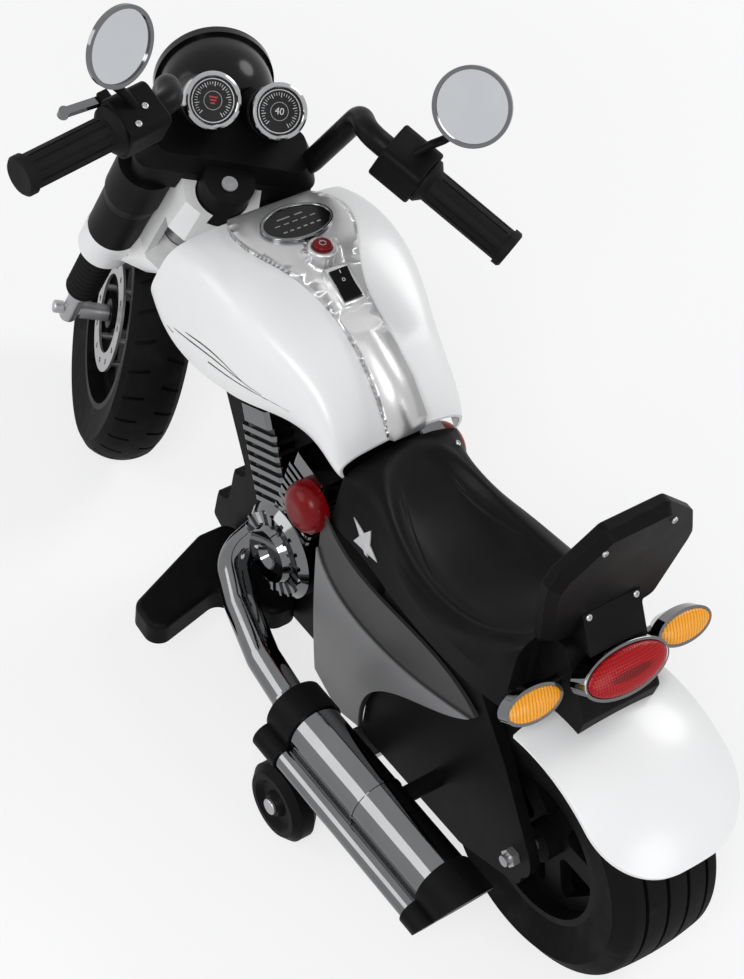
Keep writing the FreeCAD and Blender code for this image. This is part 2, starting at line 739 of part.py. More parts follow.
def trainer_arms():
    """Bracket under the belly, its drop plate and the bolt that the wheel turns on."""
    half = TRAINER_WIDTH / 2
    plate_y = TRAINER_Y - half - MOVE_GAP
    x = TRAINER_X - ARM_WIDTH / 2
    flat = Part.makeBox(ARM_WIDTH, plate_y - ARM_INNER_Y, ARM_PLATE, V(x, ARM_INNER_Y, BELLY_Z - ARM_PLATE))
    low = TRAINER_R - ARM_WIDTH / 2
    drop = Part.makeBox(ARM_WIDTH, ARM_PLATE, BELLY_Z - low, V(x, plate_y - ARM_PLATE, low))
    centre = V(TRAINER_X, plate_y - ARM_PLATE, TRAINER_R)
    head_y = TRAINER_Y + half + MOVE_GAP / 2
    bolt = rod(TRAINER_BOLT_R, centre, V(TRAINER_X, head_y, TRAINER_R))
    head = rod(TRAINER_HEAD_R, V(TRAINER_X, head_y, TRAINER_R), V(TRAINER_X, head_y + TRAINER_HEAD, TRAINER_R))
    edges = [e for e in head.Edges if e.BoundBox.YMin > head_y + TRAINER_HEAD / 2]
    head = head.makeFillet(TRAINER_HEAD / 2, edges)
    return both(flat.fuse([drop, bolt, head]).removeSplitter())


def rear_axle():
    reach = ARM_OUTER_Y + NUT_LENGTH + AXLE_R
    shaft = rod(AXLE_R, V(0, -reach, REAR_R), V(0, reach, REAR_R))
    nuts = []
    for side in (1, -1):
        ring = [V(NUT_R * math.cos(i * math.pi / 3), 0, NUT_R * math.sin(i * math.pi / 3)) for i in range(6)]
        nut = slab(polygon(ring), V(0, NUT_LENGTH * side, 0))
        nuts.append(nut.translate(V(0, (ARM_OUTER_Y + SEAT_GAP) * side, REAR_R)))
    return shaft.fuse(nuts)


def gear_motor():
    """Round gearbox in the rear wheel's pocket, with the motor's can beside the axle."""
    inner = -ARM_Y + SEAT_GAP
    case_r = REAR_RIM_R - REAR_BARREL - MOVE_GAP * 2
    depth = ARM_Y - SEAT_GAP - REAR_HUB_R - MOVE_GAP
    rows = ((AXLE_R + RUN_FIT, 0), (case_r, 0), (case_r, depth / 2), (case_r - depth / 4, depth / 2 + depth / 4),
            (REAR_HUB_R, depth / 2 + depth / 4), (AXLE_R + RUN_FIT, depth / 2 + depth / 4))
    case = turned(rows, V(0, inner, REAR_R), Y)
    can_r = (case_r - REAR_HUB_R) / 3
    can_x = (case_r + REAR_HUB_R) / 2
    can = Part.makeCylinder(can_r, depth * MOTOR_CAN_SHARE, V(can_x, inner, REAR_R), Y)
    return case.fuse(can)


# Frame

def frame_outline(y):
    seat = SEAT_BASE_Z - SEAT_GAP
    rows = [(WHEELBASE * BACKBONE_SHARES[0], BACKBONE_Z), (WHEELBASE * BACKBONE_SHARES[1], BACKBONE_Z),
            (WHEELBASE * BACKBONE_SHARES[2], (BACKBONE_Z * 3 + TANK_BASE_Z) / 4),
            (WHEELBASE * BACKBONE_SHARES[3], (TANK_BASE_Z + seat) / 2), (WHEELBASE * BACKBONE_SHARES[4], seat),
            (FRAME_BACK, seat), (FRAME_BACK, BELLY_Z)]
    rows += [(WHEELBASE * x, SEAT_BASE_Z * z) for x, z in STEP_SHARES + DOWNTUBE_SHARES]
    return side_view(rows, y)


def nose_cut(setback):
    """Everything ahead of a raked plane that the turning fork needs free."""
    size = WHEELBASE
    block = Part.makeBox(size, size, size + size, V(-setback, -size / 2, -size))
    return moved(block, HEAD_FRAME)


def arm_outline(y):
    rise = SEAT_BASE_Z - REAR_R
    return side_view([(ARM_REACH * x, REAR_R + rise * z) for x, z in ARM_SHARES], y)


def frame_tongue():
    """Short arched tongue under the rear fender, which carries the tail."""
    crown = FENDER_CROWN_R - FENDER_WALL - SEAT_GAP
    sag = FENDER_CROWN_R - fender_radius(TONGUE_HALF)
    ring = Part.makeCylinder(crown - sag, TONGUE_HALF - FRAME_SPLIT / 2, V(0, FRAME_SPLIT / 2, REAR_R), Y)
    length = FRAME_BACK + TONGUE_REAR + FRAME_EDGE
    tongue = ring.common(Part.makeBox(length, TONGUE_HALF, WHEELBASE, V(-TONGUE_REAR, 0, REAR_R)))
    start = V(SEAT_REAR_X - SEAT_GAP, 0, SEAT_BASE_Z - SEAT_GAP)
    return tongue.cut(Part.makeBox(FRAME_BACK, TONGUE_HALF, WHEELBASE, start))


def frame_half():
    body = slab(rounded(frame_outline(FRAME_SPLIT / 2), FRAME_ROUND), V(0, FRAME_HALF - FRAME_SPLIT / 2, 0))
    faces = [e for e in body.Edges if e.BoundBox.YMin > FRAME_HALF - RUN_FIT]
    body = body.makeChamfer(FRAME_EDGE, faces)
    arm = slab(rounded(arm_outline(ARM_Y), FRAME_ROUND), V(0, ARM_THICKNESS, 0))
    arm = arm.fuse(Part.makeCylinder(ARM_BOSS_R, ARM_THICKNESS, V(0, ARM_Y, REAR_R), Y))
    inner = FRAME_HALF - FRAME_EDGE * 2
    bridge = Part.makeBox(ARM_BRIDGE, ARM_Y - inner, SEAT_BASE_Z - SEAT_GAP - REAR_R,
                          V(FRAME_BACK + FRAME_EDGE, inner, REAR_R))
    body = body.fuse([arm, bridge, frame_tongue()])
    arch = Part.makeCylinder(REAR_R + ARCH_GAP, ARM_Y, V(0, 0, REAR_R), Y)
    bay = Part.makeBox(BAY_LENGTH, FRAME_HALF - BAY_WALL, SEAT_BASE_Z - BAY_WALL - BAY_FLOOR_Z,
                       V(BAY_FRONT_X - BAY_LENGTH, 0, BAY_FLOOR_Z))
    web = moved(head_web(WEB_HALF + SEAT_GAP, SEAT_GAP), HEAD_FRAME)
    hole = Part.makeCylinder(AXLE_R, ARM_THICKNESS + OVERRUN, V(0, ARM_Y - OVERRUN / 2, REAR_R), Y)
    nose = nose_cut(NOSE_SETBACK + TANK_WALL + SEAT_GAP)
    return body.cut([arch, bay, web, hole, nose]).fuse(muffler_hanger()).removeSplitter()


def muffler_hanger():
    peg = rod(HANGER_R, V(HANGER_X, ARM_OUTER_Y - ARM_THICKNESS / 2, MUFFLER_Z), V(HANGER_X, MUFFLER_Y, MUFFLER_Z))
    room = Part.makeCylinder(MUFFLER_R + SEAT_GAP, OVERRUN, V(HANGER_X - OVERRUN / 2, MUFFLER_Y, MUFFLER_Z), X)
    return peg.cut(room)


def frame_left():
    return frame_half()


def frame_right():
    centre = WHEELBASE * SOCKET_X_SHARE
    hole = Part.makeCylinder(SOCKET_BODY_R + SEAT_GAP, FRAME_HALF, V(centre, -FRAME_HALF - SEAT_GAP, SOCKET_Z), Y)
    limit = Part.makeBox(OVERRUN, SOCKET_DEPTH + SEAT_GAP * 2, OVERRUN,
                         V(centre - OVERRUN / 2, -FRAME_HALF - SEAT_GAP, SOCKET_Z - OVERRUN / 2))
    return mirrored(frame_half()).cut(hole.common(limit))


def charge_socket():
    centre = V(WHEELBASE * SOCKET_X_SHARE, -FRAME_HALF - SEAT_GAP, SOCKET_Z)
    flange = Part.makeCylinder(SOCKET_FLANGE_R, SOCKET_FLANGE, centre, -Y)
    body = Part.makeCylinder(SOCKET_BODY_R, SOCKET_DEPTH, centre, Y)
    face = centre - Y * SOCKET_FLANGE
    bore = Part.makeCylinder(PLUG_BORE_R, PLUG_DEPTH, face, Y)
    return flange.fuse(body).cut(bore).removeSplitter()


def battery():
    width = FRAME_HALF - BAY_WALL - SEAT_GAP
    start = V(BAY_FRONT_X - (BAY_LENGTH + BATTERY_LENGTH) / 2, -width, BAY_FLOOR_Z + SEAT_GAP)
    case = Part.makeBox(BATTERY_LENGTH, width + width, BATTERY_HEIGHT, start)
    case = case.makeFillet(BAY_WALL / 2, [e for e in case.Edges if e.BoundBox.ZLength > BATTERY_HEIGHT / 2])
    posts = []
    for side in (1, -1):
        place = V(BAY_FRONT_X - BAY_LENGTH / 2, side * width / 2, BAY_FLOOR_Z + SEAT_GAP + BATTERY_HEIGHT)
        posts.append(Part.makeCylinder(TERMINAL_R, TERMINAL_HEIGHT, place, Z))
    return case.fuse(posts).removeSplitter()


def control_box():
    start = V(WHEELBASE * BACKBONE_SHARES[1] + BOX_HEIGHT, -BOX_WIDTH / 2, BACKBONE_Z + SEAT_GAP)
    box = Part.makeBox(BOX_LENGTH, BOX_WIDTH, BOX_HEIGHT, start)
    return box.makeFillet(BAY_WALL / 2, [e for e in box.Edges if e.BoundBox.ZLength > BOX_HEIGHT / 2])


# Steering head

def head_web(half, margin):
    """Plate that carries the head tube, in the fork's frame with the wheel straight."""
    low = HEAD_LOW + WEB_MARGIN - margin
    top = HEAD_TOP - WEB_MARGIN + margin
    return Part.makeBox(WEB_REACH + margin, half + half, top - low, V(-WEB_REACH - margin, -half, low))


def steering_head():
    tube = Part.makeCylinder(HEAD_TUBE_R, HEAD_LENGTH, V(0, 0, HEAD_LOW), Z)
    body = tube.fuse(head_web(WEB_HALF, 0))
    size = WHEELBASE
    ceiling = Part.makeBox(size, size, size, V(0, -size / 2, BACKBONE_Z)).cut(nose_cut(NOSE_SETBACK))
    bore = Part.makeCylinder(HEAD_BORE_R, HEAD_LENGTH + OVERRUN, V(0, 0, HEAD_LOW - OVERRUN / 2), Z)
    return moved(body.cut(bore), HEAD_FRAME).cut(ceiling)


def head_bushes():
    rows = ((STEM_R + RUN_FIT, -BUSH_FLANGE), (HEAD_TUBE_R, -BUSH_FLANGE), (HEAD_TUBE_R, 0),
            (HEAD_BORE_R, 0), (HEAD_BORE_R, BUSH_LENGTH), (STEM_R + RUN_FIT, BUSH_LENGTH))
    low = turned(rows, V(0, 0, HEAD_LOW), Z)
    top = turned(rows, V(0, 0, HEAD_TOP), -Z)
    return moved(Part.makeCompound([low, top]), HEAD_FRAME)


def steering_stem():
    return steered(rod(STEM_R, V(0, 0, YOKE_TOP - YOKE_HEIGHT / 2), V(0, 0, BINNACLE_LOW + BUSH_LENGTH)))


# Tank

def tank_section(row, grow, drop):
    """One cross section of the tank, grown outwards by grow and lowered at the foot by drop."""
    along, wide, ridge, widest, low, full = row
    x = TANK_REAR_X + TANK_LENGTH * along
    half = TANK_HALF_WIDTH * wide + grow
    top = TANK_BASE_Z + TANK_HEIGHT * ridge + grow
    mid = TANK_BASE_Z + TANK_HEIGHT * widest
    foot = TANK_BASE_Z + TANK_HEIGHT * low - drop
    left = [V(x, half * TANK_FOOT_SHARE, foot), V(x, half, mid)]
    for w, h in TANK_ARC_SHARES:
        flat = 1 - w ** 2
        left.append(V(x, half * w, mid + (top - mid) * (flat + (h - flat) * full)))
    points = left + [V(x, 0, top)] + [V(p.x, -p.y, p.z) for p in reversed(left)]
    return Part.Wire([over_curve(points), Part.LineSegment(points[-1], points[0]).toShape()])


def tank_form(grow, drop):
    return Part.makeLoft([tank_section(row, grow, drop) for row in TANK_SHARES], True)


def tank_shell():
    outer = tank_form(0, 0).cut(nose_cut(NOSE_SETBACK))
    size = WHEELBASE
    tail = Part.makeBox(TANK_WALL, size, size, V(TANK_REAR_X, -size / 2, 0))
    hollow = tank_form(-TANK_WALL, OVERRUN).cut([nose_cut(NOSE_SETBACK + TANK_WALL), tail])
    web = moved(head_web(WEB_HALF + SEAT_GAP, SEAT_GAP), HEAD_FRAME)
    return outer.cut([hollow, web])


def panel_outline(z):
    rows = [(TANK_REAR_X + TANK_LENGTH * x, PANEL_HALF_WIDTH * y) for x, y in PANEL_SHARES]
    left = [V(x, y, z) for x, y in rows]
    right = [V(p.x, -p.y, p.z) for p in reversed(left)]
    sides = [over_curve(left), Part.LineSegment(left[-1], right[0]).toShape(), over_curve(right),
             Part.LineSegment(right[-1], left[0]).toShape()]
    return Part.Wire(sides)


def ridge_height(share):
    """Height of the tank's ridge at a share of its length."""
    for a, b in zip(TANK_SHARES, TANK_SHARES[1:]):
        if a[0] <= share <= b[0]:
            return TANK_BASE_Z + TANK_HEIGHT * (a[2] + (b[2] - a[2]) * (share - a[0]) / (b[0] - a[0]))
    return TANK_BASE_Z + TANK_HEIGHT


def panel_skin():
    return tank_form(PANEL_RISE, OVERRUN / 2)


def rocker_frame_place():
    x = TANK_REAR_X + TANK_LENGTH * ROCKER_X_SHARE
    z = ridge_height(ROCKER_X_SHARE) + PANEL_RISE
    return FreeCAD.Placement(V(x, 0, z), FreeCAD.Rotation(Y, -ROCKER_SLOPE))


def button_place():
    x = TANK_REAR_X + TANK_LENGTH * BUTTON_X_SHARE
    return V(x, 0, ridge_height(BUTTON_X_SHARE) + PANEL_RISE)


def panel_heel():
    """Thick rear end of the strip, which overhangs the seat's front."""
    rows = [(TANK_REAR_X + TANK_LENGTH * x, TANK_BASE_Z + TANK_HEIGHT * z) for x, z in HEEL_SHARES]
    return slab(polygon(side_view(rows, -HEEL_HALF)), V(0, HEEL_HALF * 2, 0))


def tank_panel():
    """Raised keyhole panel with the button's collar and the rocker's frame moulded on."""
    column = slab(panel_outline(TANK_BASE_Z), V(0, 0, TANK_HEIGHT + TANK_HEIGHT))
    seat = tank_form(PANEL_GAP, OVERRUN)
    place = button_place()
    collar = Part.makeCylinder(COLLAR_R, COLLAR_RISE + PANEL_RISE, place - Z * PANEL_RISE, Z)
    top = [e for e in collar.Edges if e.BoundBox.ZMin > place.z]
    collar = collar.makeFillet(COLLAR_ROUND, top)
    frame = Part.makeBox(ROCKER_FRAME_LENGTH, ROCKER_FRAME_WIDTH, ROCKER_FRAME_RISE * 2,
                         V(-ROCKER_FRAME_LENGTH / 2, -ROCKER_FRAME_WIDTH / 2, -ROCKER_FRAME_RISE))
    frame = moved(frame, rocker_frame_place())
    body = column.common(panel_skin()).fuse([collar, frame, panel_heel()]).cut([seat, nose_cut(NOSE_SETBACK)])
    well = Part.makeCylinder(BUTTON_R + MOVE_GAP / 3, OVERRUN, place + Z * (COLLAR_RISE - BUTTON_TRAVEL * 3), Z)
    length = ROCKER_FRAME_LENGTH - ROCKER_FRAME_WALL * 2
    width = ROCKER_FRAME_WIDTH - ROCKER_FRAME_WALL * 2
    pocket = Part.makeBox(length, width, OVERRUN, V(-length / 2, -width / 2, ROCKER_FRAME_RISE - ROCKER_FLOOR * 2))
    pocket = pocket.fuse(rocker_pin(ROCKER_PIN_R + RUN_FIT, width / 2 + ROCKER_PIN_REACH))
    return body.cut([well, moved(pocket, rocker_frame_place())])


def rocker_pin(radius, reach):
    """Round pin across the rocker on its pivot axis."""
    height = ROCKER_FRAME_RISE - ROCKER_FLOOR / 2
    return rod(radius, V(0, -reach, height), V(0, reach, height))


def ellipse_column(x, half_length, half_width, low, high):
    curve = Part.Ellipse(V(x, half_length, low), V(x - half_width, 0, low), V(x, 0, low))
    return slab(Part.Wire(curve.toShape()), V(0, 0, high - low))


def media_pieces():
    x = TANK_REAR_X + TANK_LENGTH * MEDIA_X_SHARE
    high = TANK_BASE_Z + TANK_HEIGHT + PANEL_RISE + MEDIA_RISE
    outer = ellipse_column(x, MEDIA_HALF_LENGTH, MEDIA_HALF_WIDTH, TANK_BASE_Z, high)
    inner = ellipse_column(x, MEDIA_HALF_LENGTH - MEDIA_RIM, MEDIA_HALF_WIDTH - MEDIA_RIM, TANK_BASE_Z, high)
    face = ellipse_column(x, MEDIA_HALF_LENGTH - MEDIA_RIM - SEAT_GAP, MEDIA_HALF_WIDTH - MEDIA_RIM - SEAT_GAP,
                          TANK_BASE_Z, high - MEDIA_SINK)
    skin = tank_form(PANEL_RISE + SEAT_GAP, OVERRUN)
    bezel = outer.cut(inner)
    top = [e for e in bezel.Edges if e.BoundBox.ZMin > high - RUN_FIT]
    return bezel.makeFillet(MEDIA_RIM / 3, top).cut(skin), face.cut(skin)


def power_button():
    place = button_place() + Z * (COLLAR_RISE - BUTTON_TRAVEL)
    body = Part.makeCylinder(BUTTON_R, BUTTON_RISE + BUTTON_TRAVEL, place, Z)
    top = [e for e in body.Edges if e.BoundBox.ZMin > place.z + BUTTON_RISE]
    return body.makeFillet(BUTTON_RISE / 2, top)


def rocker_switch():
    """Rocker with two faces that meet at a shallow angle over its pivot pin."""
    length = ROCKER_FRAME_LENGTH - ROCKER_FRAME_WALL * 2 - MOVE_GAP
    half = ROCKER_FRAME_WIDTH / 2 - ROCKER_FRAME_WALL - MOVE_GAP / 3
    low = ROCKER_FRAME_RISE - ROCKER_FLOOR
    top = ROCKER_FRAME_RISE + ROCKER_RISE
    end = length / 2
    rows = ((-end, top), (ROCKER_RISE - end, low), (end - ROCKER_RISE, low), (end, top), (0, ROCKER_FRAME_RISE))
    body = slab(polygon(side_view(rows, -half)), V(0, half + half, 0))
    return moved(body.fuse(rocker_pin(ROCKER_PIN_R, half + ROCKER_PIN_REACH)), rocker_frame_place())


# Seat, backrest and tail

def seat_section(row):
    """Flanks up to the ridge line, then one curve over the rim and through the dish."""
    along, foot, half, ridge, rim_half, rim_share, dish = row
    x = SEAT_REAR_X + (TANK_REAR_X - SEAT_GAP - SEAT_REAR_X) * along
    rim_z = SEAT_BASE_Z + SEAT_RIM_HEIGHT * rim_share
    deep = SEAT_RIM_HEIGHT * dish
    rim_y = SEAT_HALF_WIDTH * rim_half
    left = [V(x, SEAT_HALF_WIDTH * half, SEAT_BASE_Z + SEAT_RIM_HEIGHT * ridge), V(x, rim_y, rim_z)]
    left += [V(x, rim_y * y, rim_z - deep * z) for y, z in DISH_SHARES]
    points = left + [V(x, 0, rim_z - deep)] + [V(p.x, -p.y, p.z) for p in reversed(left)]
    low = [V(x, -SEAT_HALF_WIDTH * foot, SEAT_BASE_Z), V(x, SEAT_HALF_WIDTH * foot, SEAT_BASE_Z)]
    ends = [points[-1]] + low + [points[0]]
    return Part.Wire([over_curve(points)] + [Part.LineSegment(a, b).toShape() for a, b in zip(ends, ends[1:])])


def seat():
    return Part.makeLoft([seat_section(row) for row in SEAT_SHARES], True)


def back_outline(x, inset):
    half = BACK_HALF_WIDTH - inset
    height = BACK_HEIGHT - inset * 2
    left = [V(x, half * y, inset + height * z) for y, z in BACK_SHARES]
    return left + [V(x, -p.y, p.z) for p in reversed(left)]


def back_place():
    return FreeCAD.Placement(V(SEAT_REAR_X - SEAT_GAP, 0, BACK_BASE_Z), FreeCAD.Rotation(Y, -BACK_LEAN))


def backrest_front():
    body = slab(rounded(back_outline(-BACK_SHELL, 0), BACK_ROUND), V(BACK_SHELL, 0, 0))
    edge = [e for e in body.Edges if e.BoundBox.XMin > -RUN_FIT]
    return moved(body.makeFillet(BACK_SHELL / 3, edge), back_place())


def backrest_rear():
    """Rear shell that tapers to its back, with the foot that stands on the tail bracket."""
    wide = rounded(back_outline(-BACK_SHELL - SEAT_GAP, 0), BACK_ROUND)
    narrow = rounded(back_outline(-BACK_SHELL * 2, BACK_INSET), BACK_ROUND)
    body = moved(Part.makeLoft([wide, narrow], True, True), back_place())
    back = SEAT_REAR_X - BACK_SHELL * 2
    low = TAIL_TOP_Z + SEAT_GAP
    high = BACK_BASE_Z + BACK_FOOT_RISE
    rows = [(back, low), (back + BACK_SHELL / 2, low), (back, high), (back - BACK_SHELL / 2, high),
            (back - BACK_FOOT_DEPTH, low)]
    foot = slab(polygon(side_view(rows, -BACK_FOOT_HALF)), V(0, BACK_FOOT_HALF * 2, 0))
    front = slab(rounded(back_outline(-BACK_SHELL - SEAT_GAP, 0), BACK_ROUND), V(OVERRUN, 0, 0))
    return body.fuse(foot).cut(moved(front, back_place()))


def lamp_axis():
    return V(-math.cos(up(LAMP_LEAN)), 0, math.sin(up(LAMP_LEAN)))


def tail_bracket():
    axis = lamp_axis()
    across = V(axis.z, 0, -axis.x)
    base = V(LAMP_X, 0, LAMP_Z) - axis * LAMP_DEPTH
    high = base + across * ((TAIL_TOP_Z - base.z) / across.z)
    low = base - across * LAMP_HALF_WIDTH * TAIL_LOWER_SHARE
    front = SEAT_REAR_X - SEAT_GAP
    rows = [(front, TAIL_TOP_Z), (high.x, TAIL_TOP_Z), (low.x, low.z), (low.x + TAIL_ROUND, REAR_R + FENDER_LIP_R),
            (front, REAR_R + FENDER_LIP_R)]
    body = slab(rounded(side_view(rows, -TAIL_HALF), TAIL_ROUND), V(0, TAIL_HALF * 2, 0))
    under = fender_core(FENDER_CROWN_R + SEAT_GAP)
    tongue = Part.makeBox(OVERRUN * 2, TAIL_HALF * 2, SEAT_BASE_Z, V(-OVERRUN, -TAIL_HALF, 0))
    return body.cut([under, tongue])


def oval(half_length, half_width):
    return Part.Wire(Part.Ellipse(V(0, half_length, 0), V(half_width, 0, 0), O).toShape())


def lamp_cup(half_length, half_width, depth, rim_size, floor):
    cup = slab(oval(half_length, half_width), Z * -depth)
    return cup.cut(slab(oval(half_length - rim_size, half_width - rim_size), Z * (floor - depth)))


def tail_lamp_housing():
    cup = lamp_cup(LAMP_HALF_LENGTH, LAMP_HALF_WIDTH, LAMP_DEPTH - SEAT_GAP, LAMP_RIM, LAMP_FLOOR)
    rim_edges = [e for e in cup.Edges if e.BoundBox.ZMin > -RUN_FIT]
    cup = cup.makeFillet(LAMP_RIM / 3, rim_edges)
    return aimed(cup, V(LAMP_X, 0, LAMP_Z), lamp_axis())


def oval_lens(half_length, half_width, rise, seat_depth):
    """Oval lens with a low crown and a skirt that sits in its cup."""
    skirt = slab(oval(half_length, half_width), Z * -seat_depth)
    matrix = FreeCAD.Matrix()
    matrix.scale(half_width, half_length, rise)
    dome = Part.makeSphere(1, O, Z, 0, 90, 360).transformGeometry(matrix)
    return skirt.fuse(dome)


def tail_lamp_lens():
    lens = oval_lens(LAMP_HALF_LENGTH - LAMP_RIM - SEAT_GAP, LAMP_HALF_WIDTH - LAMP_RIM - SEAT_GAP, LAMP_LENS_RISE,
                     LAMP_DEPTH - LAMP_FLOOR - SEAT_GAP * 2)
    return aimed(lens, V(LAMP_X, 0, LAMP_Z), lamp_axis())


def signal_housings():
    """Oval housings, open at the lens and tapering forwards, each on a stalk from the bracket's side."""
    cup = lamp_cup(SIGNAL_HALF_LENGTH, SIGNAL_HALF_WIDTH, SIGNAL_COLLAR, SIGNAL_RIM, SIGNAL_FLOOR)
    wide = oval(SIGNAL_HALF_LENGTH, SIGNAL_HALF_WIDTH)
    narrow = oval(SIGNAL_HALF_LENGTH * SIGNAL_NOSE_SHARE, SIGNAL_HALF_WIDTH * SIGNAL_NOSE_SHARE)
    nose = Part.makeLoft([wide.translated(Z * -SIGNAL_COLLAR), narrow.translated(Z * -SIGNAL_DEPTH)], True)
    place = V(SIGNAL_X, SIGNAL_Y, SIGNAL_Z)
    body = aimed(cup.fuse(nose).removeSplitter(), place, lamp_axis())
    root = place - lamp_axis() * ((SIGNAL_DEPTH + SIGNAL_COLLAR) / 2)
    stalk = rod(STALK_R, V(root.x, TAIL_HALF + SEAT_GAP, root.z), root)
    return both(body.fuse(stalk))


def signal_lenses():
    sink = SIGNAL_RIM + SEAT_GAP
    lens = oval_lens(SIGNAL_HALF_LENGTH - sink, SIGNAL_HALF_WIDTH - sink, SIGNAL_LENS_RISE,
                     SIGNAL_COLLAR - SIGNAL_FLOOR - SEAT_GAP)
    return both(aimed(lens, V(SIGNAL_X, SIGNAL_Y, SIGNAL_Z), lamp_axis()))


def fender_radius(y):
    """Outer radius of the rear fender at a distance from its middle."""
    fall = FENDER_CROWN_R - FENDER_LIP_R
    curve = (FENDER_HALF ** 2 + fall ** 2) / (2 * fall)
    return FENDER_CROWN_R - curve + math.sqrt(curve ** 2 - y ** 2)


def fender_arc(crown, lip):
    return Part.Arc(V(lip, FENDER_HALF, 0), V(crown, 0, 0), V(lip, -FENDER_HALF, 0)).toShape()


def fender_core(outer):
    """All the room inside the rear fender's outer face, grown to the given crown radius."""
    lip = outer - FENDER_CROWN_R + FENDER_LIP_R
    ends = [V(lip, FENDER_HALF, 0), V(0, FENDER_HALF, 0), V(0, -FENDER_HALF, 0), V(lip, -FENDER_HALF, 0)]
    sides = [Part.LineSegment(a, b).toShape() for a, b in zip(ends, ends[1:])]
    core = Part.Face(Part.Wire([fender_arc(outer, lip)] + sides)).revolve(O, Y, 360)
    return core.translate(REAR_AXLE)


def fender_band():
    """Arched band round the rear axle between the fender's front and rear angles."""
    inner = [V(FENDER_LIP_R - FENDER_WALL, FENDER_HALF * s, 0) for s in (1, -1)]
    outer = [V(FENDER_LIP_R, FENDER_HALF * s, 0) for s in (1, -1)]
    sides = [Part.LineSegment(a, b).toShape() for a, b in zip(outer, inner)]
    top = fender_arc(FENDER_CROWN_R, FENDER_LIP_R)
    low = fender_arc(FENDER_CROWN_R - FENDER_WALL, FENDER_LIP_R - FENDER_WALL)
    band = Part.Face(Part.Wire([top, sides[1], low, sides[0]])).revolve(O, Y, FENDER_FRONT - FENDER_REAR)
    band.rotate(O, Y, -FENDER_FRONT)
    return band.translate(REAR_AXLE)


def rear_fender():
    band = fender_band()
    turn = up((FENDER_FRONT + FENDER_REAR) / 2)
    out = V(math.cos(turn), 0, math.sin(turn))
    along = V(-math.sin(turn), 0, math.cos(turn))
    back = REAR_AXLE + along * FENDER_CROWN_R * math.sin(up(FENDER_REAR - FENDER_FRONT) / 2)
    front = REAR_AXLE - along * FENDER_CROWN_R
    wide = Y * FENDER_HALF
    outline = [front + wide, back + wide, back - wide, front - wide]
    keep = slab(rounded(outline, FENDER_CORNER), out * (FENDER_CROWN_R * 2))
    square = Part.makeBox(FENDER_CROWN_R, FENDER_HALF * 2, FENDER_CROWN_R * 2, V(0, -FENDER_HALF, REAR_R))
    return band.common(keep.fuse(square))


# Side covers, engine and exhaust

def cover_point(row):
    return V(COVER_LENGTH * row[0], COVER_Y - OVERRUN / 2, SEAT_BASE_Z * row[1])


def cover_lines(points):
    return [Part.LineSegment(a, b).toShape() for a, b in zip(points, points[1:])]


def cover_band(outer):
    """Room above the cover's crease line, where its face lies a little deeper."""
    crease = [cover_point(r) for r in COVER_CREASE_SHARES]
    above = [crease[-1], crease[-1] + Z * OVERRUN, crease[0] + Z * OVERRUN, crease[0]]
    band = slab(Part.Wire([over_curve(crease)] + cover_lines(above)), V(0, OVERRUN * 2, 0))
    return band.cut(outer.translated(Y * -COVER_CREASE))


def side_covers():
    """Creased cover each side behind the engine, on a boss from the frame."""
    top = [cover_point(r) for r in COVER_TOP_SHARES]
    arch = [top[-1]] + [cover_point(r) for r in COVER_ARCH_SHARES]
    toe = [arch[-1]] + [cover_point(r) for r in COVER_TOE_SHARES] + [top[0]]
    column = slab(Part.Wire([over_curve(top), over_curve(arch)] + cover_lines(toe)), V(0, OVERRUN * 2, 0))
    middle = V(0, COVER_Y + COVER_THICKNESS - COVER_BULGE_R, SEAT_BASE_Z * 2 / 3)
    outer = Part.makeCylinder(COVER_BULGE_R, WHEELBASE, middle, X)
    inside = Part.makeBox(WHEELBASE, COVER_Y + OVERRUN, WHEELBASE, V(0, -OVERRUN, 0))
    start = V(WHEELBASE * DOME_X_SHARE, COVER_Y - OVERRUN / 2, DOME_Z)
    dome = Part.makeCylinder(DOME_R + SEAT_GAP, OVERRUN, start, Y)
    plate = column.common(outer).cut([inside, cover_band(outer), dome])
    x = COVER_LENGTH * COVER_TOP_SHARES[1][0]
    z = SEAT_BASE_Z * COVER_ARCH_SHARES[1][1]
    boss = rod(COVER_BOSS_R, V(x, FRAME_HALF + SEAT_GAP, z), V(x, COVER_Y + SEAT_GAP, z))
    return both(plate.fuse(boss))


def finned_cylinder(lean, length):
    """Half of a finned barrel, leaning in side view, standing out from the plate."""
    half = CYLINDER_WIDTH / 2
    core = Part.makeBox(CYLINDER_WIDTH, CYLINDER_DEPTH - FIN_OVERHANG, length, V(-half, 0, CYLINDER_ROOT))
    pieces = [core]
    pitch = (length - HEAD_BLOCK) / CYLINDER_FINS
    wide = half + FIN_OVERHANG
    for i in range(CYLINDER_FINS):
        low = CYLINDER_ROOT + pitch * i
        ring = [V(-wide, 0, low), V(-wide, CYLINDER_DEPTH, low), V(wide, CYLINDER_DEPTH, low), V(wide, 0, low)]
        pieces.append(slab(rounded(ring, FIN_OVERHANG), V(0, 0, pitch * FIN_SHARE)))
    cap_low = CYLINDER_ROOT + length - HEAD_BLOCK
    cap = [V(-half, 0, cap_low), V(-half, CYLINDER_DEPTH, cap_low), V(half, CYLINDER_DEPTH, cap_low),
           V(half, 0, cap_low)]
    pieces.append(slab(rounded(cap, FIN_OVERHANG), V(0, 0, HEAD_BLOCK)))
    shape = pieces[0].fuse(pieces[1:])
    shape.rotate(O, Y, lean)
    return shape


